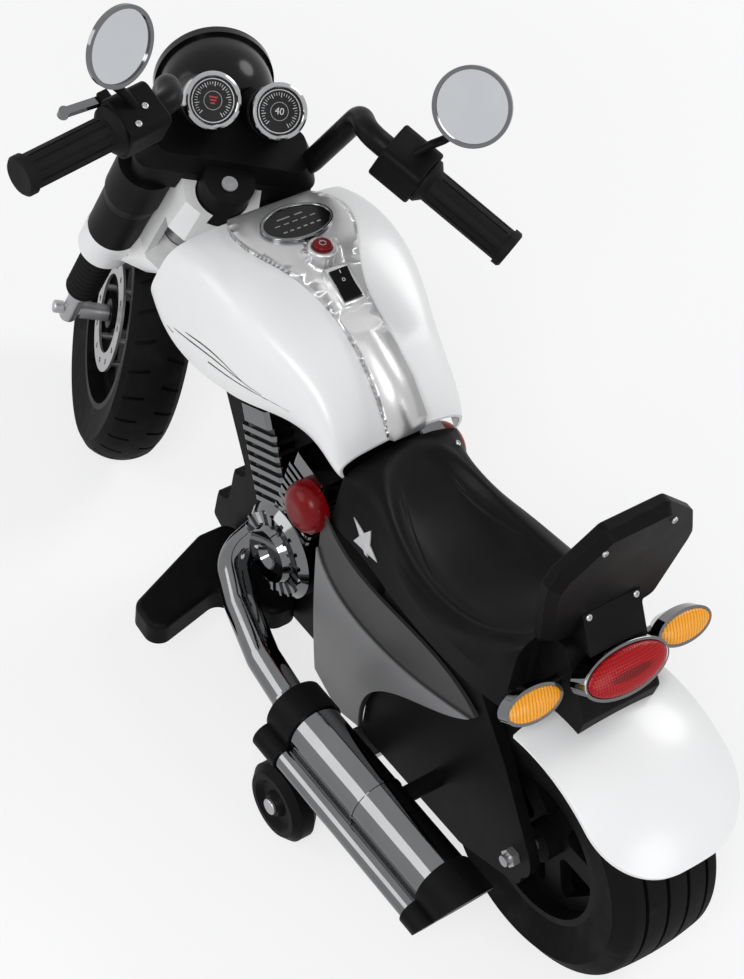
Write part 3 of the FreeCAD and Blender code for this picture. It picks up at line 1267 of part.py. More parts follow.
def engine_panels():
    centre = V(WHEELBASE * ENGINE_X_SHARE, FRAME_HALF + SEAT_GAP, CRANK_Z)
    cap_face = CRANK_DEPTH + CRANK_CAP_DEPTH
    soft = CRANK_RIB_WIDTH * 2
    rows = ((0, 0), (CRANK_R, 0), (CRANK_R, CRANK_DEPTH - soft), (CRANK_R - soft, CRANK_DEPTH),
            (CRANK_CAP_R + CRANK_RIB_WIDTH, CRANK_DEPTH), (CRANK_CAP_R, cap_face), (CRANK_CAP_R / 2, cap_face),
            (CRANK_CAP_R / 3, CRANK_DEPTH), (0, CRANK_DEPTH))
    crank = turned(rows, O, Y)
    ribs = []
    for i in range(CRANK_RIBS):
        thin = CRANK_RIB_WIDTH / 2
        rib = Part.makeBox(CRANK_R - CRANK_CAP_R - soft, CRANK_RIB_WIDTH, CRANK_RIB_WIDTH,
                           V(CRANK_CAP_R + thin, CRANK_DEPTH - thin, -thin))
        rib.rotate(O, Y, i * 360.0 / CRANK_RIBS)
        ribs.append(rib)
    lengths = [CYLINDER_LENGTH * s for s in CYLINDER_LENGTH_SHARES]
    barrels = [finned_cylinder(-lean, length) for lean, length in zip(CYLINDER_LEANS, lengths)]
    panel = crank.fuse(ribs + barrels).translate(centre)
    return both(panel.removeSplitter())


def air_cleaners():
    centre = V(WHEELBASE * DOME_X_SHARE, FRAME_HALF + CYLINDER_DEPTH + SEAT_GAP * 2, DOME_Z)
    body = Part.makeCylinder(DOME_R, DOME_HEIGHT, centre, Y)
    edge = [e for e in body.Edges if e.BoundBox.YMin > centre.y + DOME_HEIGHT / 2]
    return both(body.makeFillet(DOME_ROUND, edge))


def header_points():
    """Run of the left pipe from its port on the frame's side to the muffler's collar."""
    port = V(WHEELBASE * HEADER_PORT_X_SHARE, FRAME_HALF + SEAT_GAP, HEADER_PORT_Z)
    front = MUFFLER_FRONT_X + COLLAR_LENGTH
    run = V(front - port.x, MUFFLER_Y - port.y, MUFFLER_Z - port.z)
    corners = [port + V(run.x * a, run.y * b, run.z * c) for a, b, c in HEADER_SHARES]
    return [port] + corners + [V(front - COLLAR_LIP, MUFFLER_Y, MUFFLER_Z)]


def header_pipes():
    pipe = bent_tube(header_points(), HEADER_R, HEADER_BEND)
    front = MUFFLER_FRONT_X + COLLAR_LENGTH
    band = Part.makeCylinder(HEADER_R + COLLAR_LIP, COLLAR_LIP * 3, V(front + SEAT_GAP, MUFFLER_Y, MUFFLER_Z), X)
    room = Part.makeBox(OVERRUN * 4, FRAME_HALF, WHEELBASE, V(header_points()[0].x - OVERRUN * 2, 0, 0))
    return both(pipe.fuse(band).cut([room, engine_panels()]))


def pipe_section(x, grow):
    """Main tube, lower side tube and the web between them, as one closed section."""
    main = Part.makeCylinder(MUFFLER_R + grow, 1, V(x, MUFFLER_Y, MUFFLER_Z), X)
    side = V(x, MUFFLER_Y + SIDE_PIPE_OUT, MUFFLER_Z - SIDE_PIPE_DROP)
    lower = Part.makeCylinder(SIDE_PIPE_R + grow, 1, side, X)
    line = side - V(x, MUFFLER_Y, MUFFLER_Z)
    normal = line.cross(X).normalize() * (PIPE_WEB / 2 + grow)
    start = V(x, MUFFLER_Y, MUFFLER_Z)
    web = slab(polygon([start + normal, side + normal, side - normal, start - normal]), X)
    return main.fuse([lower, web]).removeSplitter()


def muffler_run(start, length, grow):
    unit = pipe_section(0, grow)
    face = [f for f in unit.Faces if abs(f.CenterOfMass.x) < RUN_FIT][0]
    return face.extrude(X * length).translate(X * start)


def mufflers():
    rear = MUFFLER_FRONT_X - MUFFLER_LENGTH
    body = muffler_run(rear, MUFFLER_LENGTH, 0)
    middle = V(rear + MUFFLER_LENGTH / 2, MUFFLER_Y, MUFFLER_Z)
    band = Part.makeCylinder(MUFFLER_R + COLLAR_LIP / 3, COLLAR_LIP, middle, X)
    reach = MUFFLER_Y - MUFFLER_R - ARM_OUTER_Y
    peg = Part.makeCylinder(HANGER_R + SEAT_GAP, reach, V(HANGER_X, ARM_OUTER_Y, MUFFLER_Z), Y)
    return both(body.fuse(band).cut(peg))


def muffler_caps():
    """Front collar round the header's end, and a closed end cap that is longer at its top."""
    front = MUFFLER_FRONT_X + COLLAR_LENGTH
    collar = muffler_run(MUFFLER_FRONT_X + SEAT_GAP, COLLAR_LENGTH - SEAT_GAP, COLLAR_LIP)
    hole = Part.makeCylinder(HEADER_R + COLLAR_LIP / 3, COLLAR_LENGTH, V(front - COLLAR_LIP * 2, MUFFLER_Y, MUFFLER_Z), X)
    rear = MUFFLER_FRONT_X - MUFFLER_LENGTH - SEAT_GAP
    length = CAP_LENGTH + CAP_SLANT * 2
    cap = muffler_run(rear - length, length, COLLAR_LIP)
    lean = V(-CAP_SLANT / 2, 0, MUFFLER_R) * 3
    middle = V(rear - CAP_LENGTH - CAP_SLANT / 2, 0, MUFFLER_Z)
    back = X * -OVERRUN
    far = slab(polygon([middle - lean, middle + lean, middle + lean + back, middle - lean + back]), Y * WHEELBASE)
    return Part.makeCompound([both(collar.cut(hole)), both(cap.cut(far))])


# Footboards

def footboard():
    rows = [(WHEELBASE * x, FRAME_HALF + SEAT_GAP + BOARD_REACH * y) for x, y in BOARD_SHARES]
    body = slab(rounded([V(x, y, BOARD_Z) for x, y in rows], BOARD_ROUND), V(0, 0, BOARD_THICKNESS))
    inner = Part.makeBox(WHEELBASE, FRAME_HALF + SEAT_GAP, WHEELBASE, V(0, 0, 0))
    top = [e for e in body.Edges if e.BoundBox.ZMin > BOARD_Z + BOARD_THICKNESS - RUN_FIT]
    return body.makeFillet(BOARD_EDGE, top).cut(inner)


def pedal_place():
    return V(WHEELBASE * PEDAL_X_SHARE, -FRAME_HALF - BOARD_REACH * PEDAL_REACH_SHARE, BOARD_Z + BOARD_THICKNESS)


def footboards():
    """Both boards, the right one with the two lugs and the pin that the pedal turns on."""
    place = pedal_place()
    pin_z = place.z + PEDAL_LIFT
    pin_x = place.x - PEDAL_LENGTH / 2
    lugs = []
    for side in (1, -1):
        y = place.y + side * (PEDAL_WIDTH / 2 + MOVE_GAP / 2)
        low = min(y, y + side * PEDAL_LUG)
        start = V(pin_x - PEDAL_LUG, low, place.z - PEDAL_LUG)
        lugs.append(Part.makeBox(PEDAL_LUG * 2, PEDAL_LUG, PEDAL_LIFT + PEDAL_LUG * 2, start))
    reach = PEDAL_WIDTH / 2 + PEDAL_LUG
    pin = rod(PEDAL_PIN_R, V(pin_x, place.y - reach, pin_z), V(pin_x, place.y + reach, pin_z))
    return Part.makeCompound([footboard(), mirrored(footboard()).fuse(lugs + [pin]).removeSplitter()])


def accelerator_pedal():
    """Hinged plate with a barrel at its rear edge and grip ribs across it."""
    place = pedal_place()
    pin_x = place.x - PEDAL_LENGTH / 2
    pin_z = place.z + PEDAL_LIFT
    barrel_r = PEDAL_PIN_R + PEDAL_THICKNESS / 3
    low_y = place.y - PEDAL_WIDTH / 2
    start = V(pin_x, low_y, pin_z - PEDAL_THICKNESS / 2)
    plate = Part.makeBox(PEDAL_LENGTH, PEDAL_WIDTH, PEDAL_THICKNESS, start)
    barrel = Part.makeCylinder(barrel_r, PEDAL_WIDTH, V(pin_x, low_y, pin_z), Y)
    ribs = []
    for i in range(PEDAL_RIBS):
        x = pin_x + PEDAL_LENGTH * (i + 1) / (PEDAL_RIBS + 1)
        ribs.append(Part.makeBox(PEDAL_THICKNESS / 2, PEDAL_WIDTH, PEDAL_THICKNESS / 3,
                                 V(x, place.y - PEDAL_WIDTH / 2, pin_z + PEDAL_THICKNESS / 2)))
    start = V(pin_x, place.y - PEDAL_WIDTH, pin_z)
    bore = Part.makeCylinder(PEDAL_PIN_R + RUN_FIT, PEDAL_WIDTH * 2, start, Y)
    body = plate.fuse([barrel] + ribs).cut(bore)
    body.rotate(V(pin_x, place.y, pin_z), Y, -PEDAL_REST)
    return body


# Fork

def front_axle():
    """Axle with its end knobs and the spacers between the hub and the legs."""
    side_y = FORK_HALF + LEG_R
    reach = side_y + AXLE_R
    pieces = []
    for side in (1, -1):
        knob = Part.makeCylinder(AXLE_KNOB_R, AXLE_KNOB, V(0, side * (side_y + SEAT_GAP), 0), Y * side)
        pieces.append(knob.makeFillet(AXLE_KNOB / 4, [e for e in knob.Edges if abs(e.CenterOfMass.y) > reach]))
        start = FRONT_BEAD / 2 + MOVE_GAP
        pieces.append(rod(LEG_R, Y * side * start, Y * side * (FORK_HALF - LEG_R - SEAT_GAP)))
    return steered(rod(AXLE_R, V(0, -reach, 0), V(0, reach, 0)).fuse(pieces))


def fork_legs():
    """Silver lower leg with its rounded foot and collar, and the tube that goes on up into the binnacle."""
    foot_r = LEG_R * LEG_FOOT_SHARE
    top = BINNACLE_LOW + TUBE_R
    rows = ((0, -LEG_TAIL), (foot_r, -LEG_TAIL), (LEG_R, LEG_R - foot_r - LEG_TAIL), (LEG_R, LEG_TOP - LEG_RING),
            (LEG_RING_R, LEG_TOP - LEG_RING), (LEG_RING_R, LEG_TOP), (TUBE_R, LEG_TOP), (TUBE_R, top), (0, top))
    leg = turned(rows, V(0, FORK_HALF, 0), Z)
    hole = Part.makeCylinder(AXLE_R, FORK_HALF * 2, O, Y)
    return steered(both(leg.cut(hole)))


def fork_gaiters():
    """Ribbed gaiter: a ruled loft through four circles to each rib, with a bore for the tube."""
    low = LEG_TOP + SEAT_GAP
    high = SLEEVE_LOW - SEAT_GAP
    pitch = (high - low) / GAITER_RIBS
    rings = []
    for i in range(GAITER_RIBS):
        for along, out in GAITER_SHARES:
            radius = GAITER_VALLEY_R + (GAITER_R - GAITER_VALLEY_R) * out
            circle = Part.Circle(V(0, FORK_HALF, low + pitch * (i + along)), Z, radius)
            rings.append(Part.Wire(circle.toShape()))
    rings.append(Part.Wire(Part.Circle(V(0, FORK_HALF, high), Z, GAITER_VALLEY_R).toShape()))
    bore = Part.makeCylinder(TUBE_R + SEAT_GAP, high - low + OVERRUN, V(0, FORK_HALF, low - OVERRUN / 2), Z)
    return steered(both(Part.makeLoft(rings, True, True).cut(bore)))


def column_section(shares, size, z):
    left = [V(size * x, size * y, z) for x, y in shares]
    return polygon(left + [V(p.x, -p.y, p.z) for p in reversed(left)])


def column_form(size, top):
    """Folded column that widens at its foot into the yoke."""
    foot = column_section(COLUMN_FOOT_SHARES, size, FRONT_R + YOKE_RISE)
    low = column_section(COLUMN_LOW_SHARES, size, YOKE_TOP)
    return Part.makeLoft([foot, low, column_section(COLUMN_TOP_SHARES, size, top)], True, True)


def front_fender():
    """Short crowned fender over the front tyre, under the yoke."""
    inner = FRONT_R + FENDER_TYRE_GAP
    top = inner + YOKE_RISE
    half = FRONT_FENDER_HALF
    section = [V(inner, half, 0), V(top - FRONT_FENDER_LIP, half, 0), V(top, half / 2, 0), V(top, -half / 2, 0),
               V(top - FRONT_FENDER_LIP, -half, 0), V(inner, -half, 0)]
    fender = Part.Face(rounded(section, FRONT_FENDER_LIP)).revolve(O, Y, FRONT_FENDER_START - FRONT_FENDER_END)
    fender.rotate(O, Y, -FRONT_FENDER_START)
    return fender


def fork_cover():
    """White cover: leg sleeves, yoke over the wheel with a short fender, and a folded column to the binnacle."""
    low = FRONT_R + YOKE_RISE
    sleeve = Part.makeCylinder(SLEEVE_R, SLEEVE_TOP - SLEEVE_LOW, V(0, FORK_HALF, SLEEVE_LOW), Z)
    rims = [e for e in sleeve.Edges if e.BoundBox.ZLength < RUN_FIT]
    sleeve = sleeve.makeFillet(SLEEVE_R / 6, rims)
    yoke = Part.makeBox(YOKE_HALF_DEPTH * 2, FORK_HALF * 2, SLEEVE_TOP - low - SLEEVE_R / 6,
                        V(-YOKE_HALF_DEPTH, -FORK_HALF, low))
    body = sleeve.fuse([mirrored(sleeve), yoke, column_form(COLUMN_R, COLUMN_TOP), front_fender()])
    wheel = Part.makeCylinder(FRONT_R + FENDER_TYRE_GAP, FORK_HALF, V(0, -FORK_HALF / 2, 0), Y)
    cavity = Part.makeCylinder(COLUMN_BORE_R, HEAD_TOP + WEB_MARGIN - YOKE_TOP, V(0, 0, YOKE_TOP), Z)
    stem = Part.makeCylinder(STEM_R, COLUMN_TOP, V(0, 0, YOKE_TOP - YOKE_HEIGHT / 2), Z)
    tubes = [Part.makeCylinder(TUBE_R, OVERRUN * 4, V(0, FORK_HALF * s, SLEEVE_LOW - OVERRUN), Z) for s in (1, -1)]
    notch = Part.makeCylinder(BOSS_R + MOVE_GAP, OVERRUN, V(BOSS_X, 0, FRONT_R + BOSS_LOW_RISE - SEAT_GAP), Z)
    light = Part.makeSphere(LIGHT_R + SEAT_GAP, light_centre())
    return steered(body.cut([wheel, cavity, stem, notch, light, column_window()] + tubes))


def column_window():
    """Sector behind the head tube that the web swings through."""
    turn = up(STEER_LIMIT + COLUMN_WINDOW_MARGIN) + math.atan(WEB_HALF / COLUMN_BORE_R)
    reach = COLUMN_R * 2
    height = FRONT_R + COLUMN_WINDOW_RISE - YOKE_TOP
    x = -reach * math.cos(turn)
    y = reach * math.sin(turn)
    points = [V(0, 0, YOKE_TOP), V(x, y, YOKE_TOP), V(-reach, 0, YOKE_TOP), V(x, -y, YOKE_TOP)]
    return slab(polygon(points), V(0, 0, height))


def fork_shrouds():
    low = SLEEVE_TOP + SEAT_GAP
    high = BINNACLE_LOW - SEAT_GAP
    middle = (low + high) / 2
    bore = TUBE_R + SEAT_GAP
    rows = ((bore, low), (SHROUD_R, low), (SHROUD_R, middle), (SHROUD_TOP_R, middle + SHROUD_R / 2),
            (SHROUD_TOP_R, high), (bore, high))
    return steered(both(turned(rows, V(0, FORK_HALF, 0), Z).cut(cover_room())))


def cover_room():
    return column_form(COLUMN_R * COLUMN_ROOM_SHARE, COLUMN_TOP + SEAT_GAP)


# Binnacle, gauges and headlight

def gauge_axis():
    return V(-math.sin(up(GAUGE_LEAN)), 0, math.cos(up(GAUGE_LEAN)))


def gauge_centre():
    return V(GAUGE_X, GAUGE_Y, FRONT_R + GAUGE_RISE)


def light_axis():
    return V(math.cos(up(RAKE)), 0, -math.sin(up(RAKE)))


def light_centre():
    return V(LIGHT_X, 0, FRONT_R + LIGHT_RISE)


def binnacle_ring(share, z):
    half = BINNACLE_HALF * share
    front = (BINNACLE_DEPTH - BINNACLE_REAR) * share
    left = [V(-BINNACLE_REAR * share, half, z)] + [V(front * x, half * y, z) for x, y in BINNACLE_PLAN_SHARES]
    return rounded(left + [V(p.x, -p.y, p.z) for p in reversed(left)], BINNACLE_ROUND)


def binnacle():
    """Crown cover on the fork tubes, with the gauge barrels and the round boss behind the stem."""
    high = BINNACLE_LOW + BINNACLE_HEIGHT
    waist = BINNACLE_LOW + BINNACLE_HEIGHT * BINNACLE_WAIST_SHARE
    rings = [binnacle_ring(BINNACLE_LOW_SHARE, BINNACLE_LOW), binnacle_ring(1, waist),
             binnacle_ring(BINNACLE_TOP_SHARE, high)]
    top = gauge_centre() - gauge_axis() * (GAUGE_RING_HEIGHT / 2 + GAUGE_CUP + SEAT_GAP)
    barrel = rod(BARREL_R, top - gauge_axis() * BARREL_LENGTH, top)
    stem = Part.makeCylinder(STEM_R, OVERRUN + BUSH_LENGTH, V(0, 0, BINNACLE_LOW - OVERRUN), Z)
    cuts = [Part.makeSphere(LIGHT_R + SEAT_GAP, light_centre()), stem, handlebar_form(), cover_room()]
    cuts += [Part.makeCylinder(TUBE_R, OVERRUN + TUBE_R, V(0, FORK_HALF * s, BINNACLE_LOW - OVERRUN), Z)
             for s in (1, -1)]
    wide = OVERRUN * 4
    cuts.append(Part.makeBox(wide, wide, OVERRUN, V(-wide / 2, -wide / 2, BINNACLE_LOW - OVERRUN)))
    body = Part.makeLoft(rings, True, True).fuse([barrel, mirrored(barrel)]).cut(cuts)
    boss = Part.makeCylinder(BOSS_R, BOSS_HEIGHT, V(BOSS_X, 0, FRONT_R + BOSS_LOW_RISE), Z)
    return steered(body.fuse(boss.cut([stem, handlebar_form()])).removeSplitter())


def gauge_rings():
    """Bright ring of each gauge with the cup below it that the dial sits in."""
    step = -GAUGE_RING_HEIGHT / 2
    high = GAUGE_RING_HEIGHT / 2
    low = step - GAUGE_CUP
    floor = high - DIAL_SINK - DIAL_THICKNESS - SEAT_GAP
    bore = GAUGE_R - GAUGE_RING
    soft = GAUGE_RING_ROUND
    rows = ((0, low), (BARREL_R, low), (BARREL_R, step), (GAUGE_R, step), (GAUGE_R, high - soft),
            (GAUGE_R - soft / 3, high - soft / 3), (GAUGE_R - soft, high), (bore + soft / 3, high),
            (bore, high - soft / 3), (bore, floor), (0, floor))
    return steered(both(turned(rows, gauge_centre(), gauge_axis())))


def gauge_dials():
    high = GAUGE_RING_HEIGHT / 2 - DIAL_SINK
    low = high - DIAL_THICKNESS
    radius = GAUGE_R - GAUGE_RING - SEAT_GAP
    rows = ((0, low), (radius, low), (radius, high), (0, high))
    return steered(both(turned(rows, gauge_centre(), gauge_axis())))


def headlight_shell():
    """Round bucket with a domed back, open towards the lens."""
    inner = LIGHT_R - LIGHT_WALL
    back = Part.makeSphere(LIGHT_R, O, Z, -90, 0, 360)
    hollow = Part.makeSphere(inner, O, Z, -90, 0, 360)
    lip = LIGHT_R + LIGHT_LIP
    step = LIGHT_BARREL - LIGHT_LIP_LENGTH
    rows = ((inner, 0), (LIGHT_R, 0), (LIGHT_R, step), (lip, step), (lip, LIGHT_BARREL), (inner, LIGHT_BARREL))
    barrel = turned(rows, O, Z)
    return steered(aimed(back.cut(hollow).fuse(barrel).removeSplitter(), light_centre(), light_axis()))


def headlight_lens():
    radius = LIGHT_R - LIGHT_WALL - SEAT_GAP
    crown_r = (radius ** 2 + LENS_CROWN ** 2) / (2 * LENS_CROWN)
    ball = Part.makeSphere(crown_r, V(0, 0, LIGHT_BARREL + LENS_CROWN - crown_r))
    column = Part.makeCylinder(radius, LENS_SEAT + LENS_CROWN, V(0, 0, LIGHT_BARREL - LENS_SEAT), Z)
    return steered(aimed(column.common(ball), light_centre(), light_axis()))


# Handlebar and its controls

def grip_frame():
    """Left grip's inner end: X outwards along the grip, Y to the rider, Z along the steering axis."""
    turn = 90.0 + GRIP_SWEEP
    return FreeCAD.Placement(V(GRIP_X, GRIP_Y, BAR_Z), FreeCAD.Rotation(Z, turn))


def handlebar_form():
    frame = grip_frame()
    end = frame.multVec(V(GRIP_LENGTH - GRIP_WALL - SEAT_GAP, 0, 0))
    bend = frame.multVec(V(-HOUSING_LENGTH - BAR_BEND, 0, 0))
    shoulder = V(BAR_SHOULDER_X, min(BAR_SHOULDER_Y, bend.y), BAR_Z - BAR_SHOULDER_DROP)
    left = [V(0, BAR_EXIT_Y, FRONT_R + BAR_CLAMP_RISE), shoulder, bend, end]
    points = [V(p.x, -p.y, p.z) for p in reversed(left)] + left
    return bent_tube(points, BAR_R, BAR_BEND)


def handlebar():
    return steered(handlebar_form())


def grip():
    end = GRIP_LENGTH
    bore = BAR_R + SEAT_GAP
    rows = ((bore, 0), (GRIP_FLANGE_R, 0), (GRIP_FLANGE_R, GRIP_FLANGE / 3), (GRIP_R, GRIP_FLANGE),
            (GRIP_R, end - GRIP_END), (GRIP_END_R, end - GRIP_END), (GRIP_END_R, end - GRIP_END / 4),
            (GRIP_END_R - GRIP_END / 4, end), (0, end), (0, end - GRIP_WALL), (bore, end - GRIP_WALL))
    body = turned(rows, O, X)
    cuts = []
    start = GRIP_FLANGE + GRIP_FLANGE / 2
    length = end - GRIP_END - GRIP_FLANGE * 2
    for i in range(GRIP_RIBS):
        cut = Part.makeBox(length, GRIP_RIB_WIDTH, OVERRUN, V(start, -GRIP_RIB_WIDTH / 2, GRIP_R - GRIP_RIB_DEPTH))
        cut.rotate(O, X, i * 360.0 / GRIP_RIBS)
        cuts.append(cut)
    return body.cut(Part.makeCompound(cuts))


def grips():
    return steered(both(moved(grip(), grip_frame())))


def mirror_frame():
    """Left mirror: origin at the middle of its glass, Z towards the rider."""
    aim = V(MIRROR_AIM[0], -MIRROR_AIM[1], MIRROR_AIM[2]).normalize()
    place = V(MIRROR_X, MIRROR_Y, FRONT_R + MIRROR_RISE)
    return place, aim


def mirror_pivot():
    """Point on the left mirror's turning axis, low behind the glass."""
    place, aim = mirror_frame()
    down = (aim * aim.z - Z).normalize()
    return place + down * (MIRROR_R * MIRROR_BOSS_SHARE) - aim * MIRROR_BOSS_BACK


def switch_housings():
    """Housings on the bar beside the grips, each with the stalk that its mirror turns on."""
    depth = HOUSING_DEPTH / 2
    ring = [V(-SEAT_GAP, -depth, -HOUSING_HEIGHT / 2), V(-SEAT_GAP, depth, -HOUSING_HEIGHT / 2),
            V(-SEAT_GAP, depth, HOUSING_HEIGHT / 2), V(-SEAT_GAP, -depth, HOUSING_HEIGHT / 2)]
    block = slab(rounded(ring, HOUSING_ROUND), V(-HOUSING_LENGTH, 0, 0))
    ends = [e for e in block.Edges if e.BoundBox.XLength < RUN_FIT]
    block = block.makeFillet(HOUSING_ROUND / 3, ends)
    block = moved(block, grip_frame())
    pivot = mirror_pivot()
    foot = grip_frame().multVec(V(-HOUSING_LENGTH / 2, 0, HOUSING_HEIGHT / 2 - HOUSING_ROUND / 2))
    top = V(pivot.x, pivot.y, pivot.z + MIRROR_BOSS_LENGTH / 2 - STALK_TOP)
    knee = V(pivot.x, pivot.y, pivot.z - MIRROR_BOSS_LENGTH * STALK_KNEE_SHARE)
    stalk = bent_tube([foot, (foot + knee) / 2 + Z * STALK_TOP, knee, top], MIRROR_PIN_R, MIRROR_PIN_R * 2)
    bodies = []
    for side in (1, -1):
        body = block.fuse(stalk)
        if side < 0:
            body = mirrored(body)
        else:
            body = body.fuse(lever_ears())
        bodies.append(body.cut(handlebar_form()))
    return steered(Part.makeCompound(bodies))


def lever_pivot():
    return V(-LEVER_R * 2, -HOUSING_DEPTH / 2 - LEVER_R, 0)


def lever_ears():
    """Two ears and a pin on the left housing's front that carry the finger lever."""
    place = lever_pivot()
    low = LEVER_THICKNESS / 2 + MOVE_GAP / 3
    ear = Part.makeBox(LEVER_R * 2, LEVER_R * 3, LEVER_EAR, V(place.x - LEVER_R, place.y - LEVER_R, low))
    reach = low + LEVER_EAR
    pin = rod(LEVER_PIVOT_R, place - Z * reach, place + Z * reach)
    return [moved(p, grip_frame()) for p in (ear, ear.mirror(O, Z), pin)]


def horn_lever():
    place = lever_pivot()
    half = Z * (LEVER_THICKNESS / 2)
    tip = place + V(LEVER_LENGTH, -LEVER_R, 0)
    side = V(LEVER_R, LEVER_LENGTH, 0).normalize() * (LEVER_R * LEVER_BLADE_SHARE)
    corners = [p - half for p in (place + side, tip + side, tip - side, place - side)]
    blade = slab(polygon(corners), half * 2)
    hub = rod(LEVER_R, place - half, place + half)
    end = rod(LEVER_R, tip - half, tip + half)
    bore = rod(LEVER_PIVOT_R + RUN_FIT, place - half * 2, place + half * 2)
    return steered(moved(hub.fuse([blade, end]).cut(bore).removeSplitter(), grip_frame()))


def mirror_shell(side):
    """Chrome dome with a rim round the glass and a bored boss low on its back."""
    place, aim = mirror_frame()
    inner = MIRROR_R - MIRROR_RIM
    rows = [(0, -MIRROR_DEPTH)] + [(MIRROR_R * r, -MIRROR_DEPTH * h) for r, h in MIRROR_DOME_SHARES]
    rows += [(MIRROR_R, -MIRROR_RIM / 2), (MIRROR_R, MIRROR_RIM / 2), (inner, MIRROR_RIM / 2),
             (inner, -MIRROR_GLASS), (0, -MIRROR_GLASS)]
    dome = turned(rows, place, aim)
    pivot = mirror_pivot()
    half = Z * (MIRROR_BOSS_LENGTH / 2)
    boss = rod(MIRROR_BOSS_R, pivot - half, pivot + half)
    front = aimed(Part.makeCylinder(MIRROR_R * 2, MIRROR_R, V(0, 0, -MIRROR_GLASS), Z), place, aim)
    bore = rod(MIRROR_PIN_R + RUN_FIT, pivot - half * 2, pivot + half - Z * (STALK_TOP - MOVE_GAP / 3))
    body = dome.fuse(boss.cut(front)).cut(bore)
    return steered(body if side > 0 else mirrored(body))


def mirror_glass(side):
    place, aim = mirror_frame()
    radius = MIRROR_R - MIRROR_RIM - SEAT_GAP
    rows = ((0, SEAT_GAP - MIRROR_GLASS), (radius, SEAT_GAP - MIRROR_GLASS), (radius, 0), (0, 0))
    glass = turned(rows, place, aim)
    return steered(glass if side > 0 else mirrored(glass))


def main():
    os.makedirs("parts", exist_ok=True)
    bezel, face = media_pieces()
    pieces = {
        "frame_left": frame_left(), "frame_right": frame_right(), "steering_head": steering_head(),
        "head_bushes": head_bushes(), "tank_shell": tank_shell(), "tank_panel": tank_panel(),
        "media_bezel": bezel, "media_panel": face, "seat": seat(), "backrest_front": backrest_front(),
        "backrest_rear": backrest_rear(), "tail_bracket": tail_bracket(), "tail_lamp_housing": tail_lamp_housing(),
        "tail_lamp_lens": tail_lamp_lens(), "signal_housings": signal_housings(), "signal_lenses": signal_lenses(),
        "rear_fender": rear_fender(), "side_covers": side_covers(), "engine_panels": engine_panels(),
        "air_cleaners": air_cleaners(), "header_pipes": header_pipes(), "mufflers": mufflers(),
        "muffler_caps": muffler_caps(), "footboards": footboards(), "trainer_arms": trainer_arms(),
        "rear_axle": rear_axle(), "gear_motor": gear_motor(), "battery": battery(), "control_box": control_box(),
        "charge_socket": charge_socket(), "steering_stem": steering_stem(), "fork_legs": fork_legs(),
        "fork_gaiters": fork_gaiters(), "fork_cover": fork_cover(), "fork_shrouds": fork_shrouds(),
        "binnacle": binnacle(), "gauge_rings": gauge_rings(), "gauge_dials": gauge_dials(),
        "headlight_shell": headlight_shell(), "headlight_lens": headlight_lens(), "handlebar": handlebar(),
        "switch_housings": switch_housings(), "grips": grips(), "front_axle": front_axle(),
        "front_tyre": steered(front_tyre()), "front_rim": steered(front_rim()),
        "front_discs": steered(front_discs()),
        "rear_tyre": rear_tyre(), "rear_rim": rear_rim(), "trainer_wheel_left": trainer_wheel(1),
        "trainer_wheel_right": trainer_wheel(-1), "mirror_shell_left": mirror_shell(1),
        "mirror_shell_right": mirror_shell(-1), "mirror_glass_left": mirror_glass(1),
        "mirror_glass_right": mirror_glass(-1), "power_button": power_button(), "rocker_switch": rocker_switch(),
        "accelerator_pedal": accelerator_pedal(), "horn_lever": horn_lever()}
    for name, shape in pieces.items():
        save(name, shape)


main()
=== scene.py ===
import json
import math

import bpy
from mathutils import Matrix, Vector


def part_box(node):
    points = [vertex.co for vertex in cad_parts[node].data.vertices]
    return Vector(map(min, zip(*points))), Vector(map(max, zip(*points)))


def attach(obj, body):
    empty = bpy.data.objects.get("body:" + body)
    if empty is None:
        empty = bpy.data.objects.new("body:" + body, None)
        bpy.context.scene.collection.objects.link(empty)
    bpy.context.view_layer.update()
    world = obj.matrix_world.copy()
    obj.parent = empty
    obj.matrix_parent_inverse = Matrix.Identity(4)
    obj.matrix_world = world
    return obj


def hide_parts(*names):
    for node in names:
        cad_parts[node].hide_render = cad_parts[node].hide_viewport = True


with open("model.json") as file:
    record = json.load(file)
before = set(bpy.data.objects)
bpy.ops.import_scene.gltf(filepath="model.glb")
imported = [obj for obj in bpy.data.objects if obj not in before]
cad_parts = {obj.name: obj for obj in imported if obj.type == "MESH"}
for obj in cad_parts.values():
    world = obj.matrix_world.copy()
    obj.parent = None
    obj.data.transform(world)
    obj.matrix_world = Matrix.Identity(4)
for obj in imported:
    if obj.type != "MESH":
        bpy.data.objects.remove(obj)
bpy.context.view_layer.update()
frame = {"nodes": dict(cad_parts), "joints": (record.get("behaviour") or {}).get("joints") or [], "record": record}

bl_info = {
    "name": "Ride-on Motorbike Dressing",
    "version": (1, 0, 0),
    "blender": (4, 5, 0),
    "location": "View3D > Sidebar > Motorbike",
    "description": "Finishes and small trim for a child's ride-on motorbike",
    "category": "Object",
}

NODES = frame["nodes"]
JOINTS = {joint["name"]: joint for joint in frame["joints"]}

# Fork frame: origin at the front axle, X forward, Y left, Z along the steering axis
RAKE = math.radians(24.7)
STEER = math.radians(-29.0)
FORK = (Matrix.Translation(JOINTS["steering_turn"]["pos_m"]) @ Matrix.Rotation(-RAKE, 4, "Y")
        @ Matrix.Rotation(STEER, 4, "Z"))

# Gauge frame: origin between the two gauges, Z out of their faces
GAUGE_PLACE = (0.018, 0, 0.440)
GAUGE_LEAN = math.radians(-30.0)
GAUGE_REACH = 0.0346
GAUGES = FORK @ Matrix.Translation(GAUGE_PLACE) @ Matrix.Rotation(GAUGE_LEAN, 4, "Y")

# Mirror image in the bike's middle plane
MIRRORED = Matrix.Scale(-1, 4, (0, 1, 0))


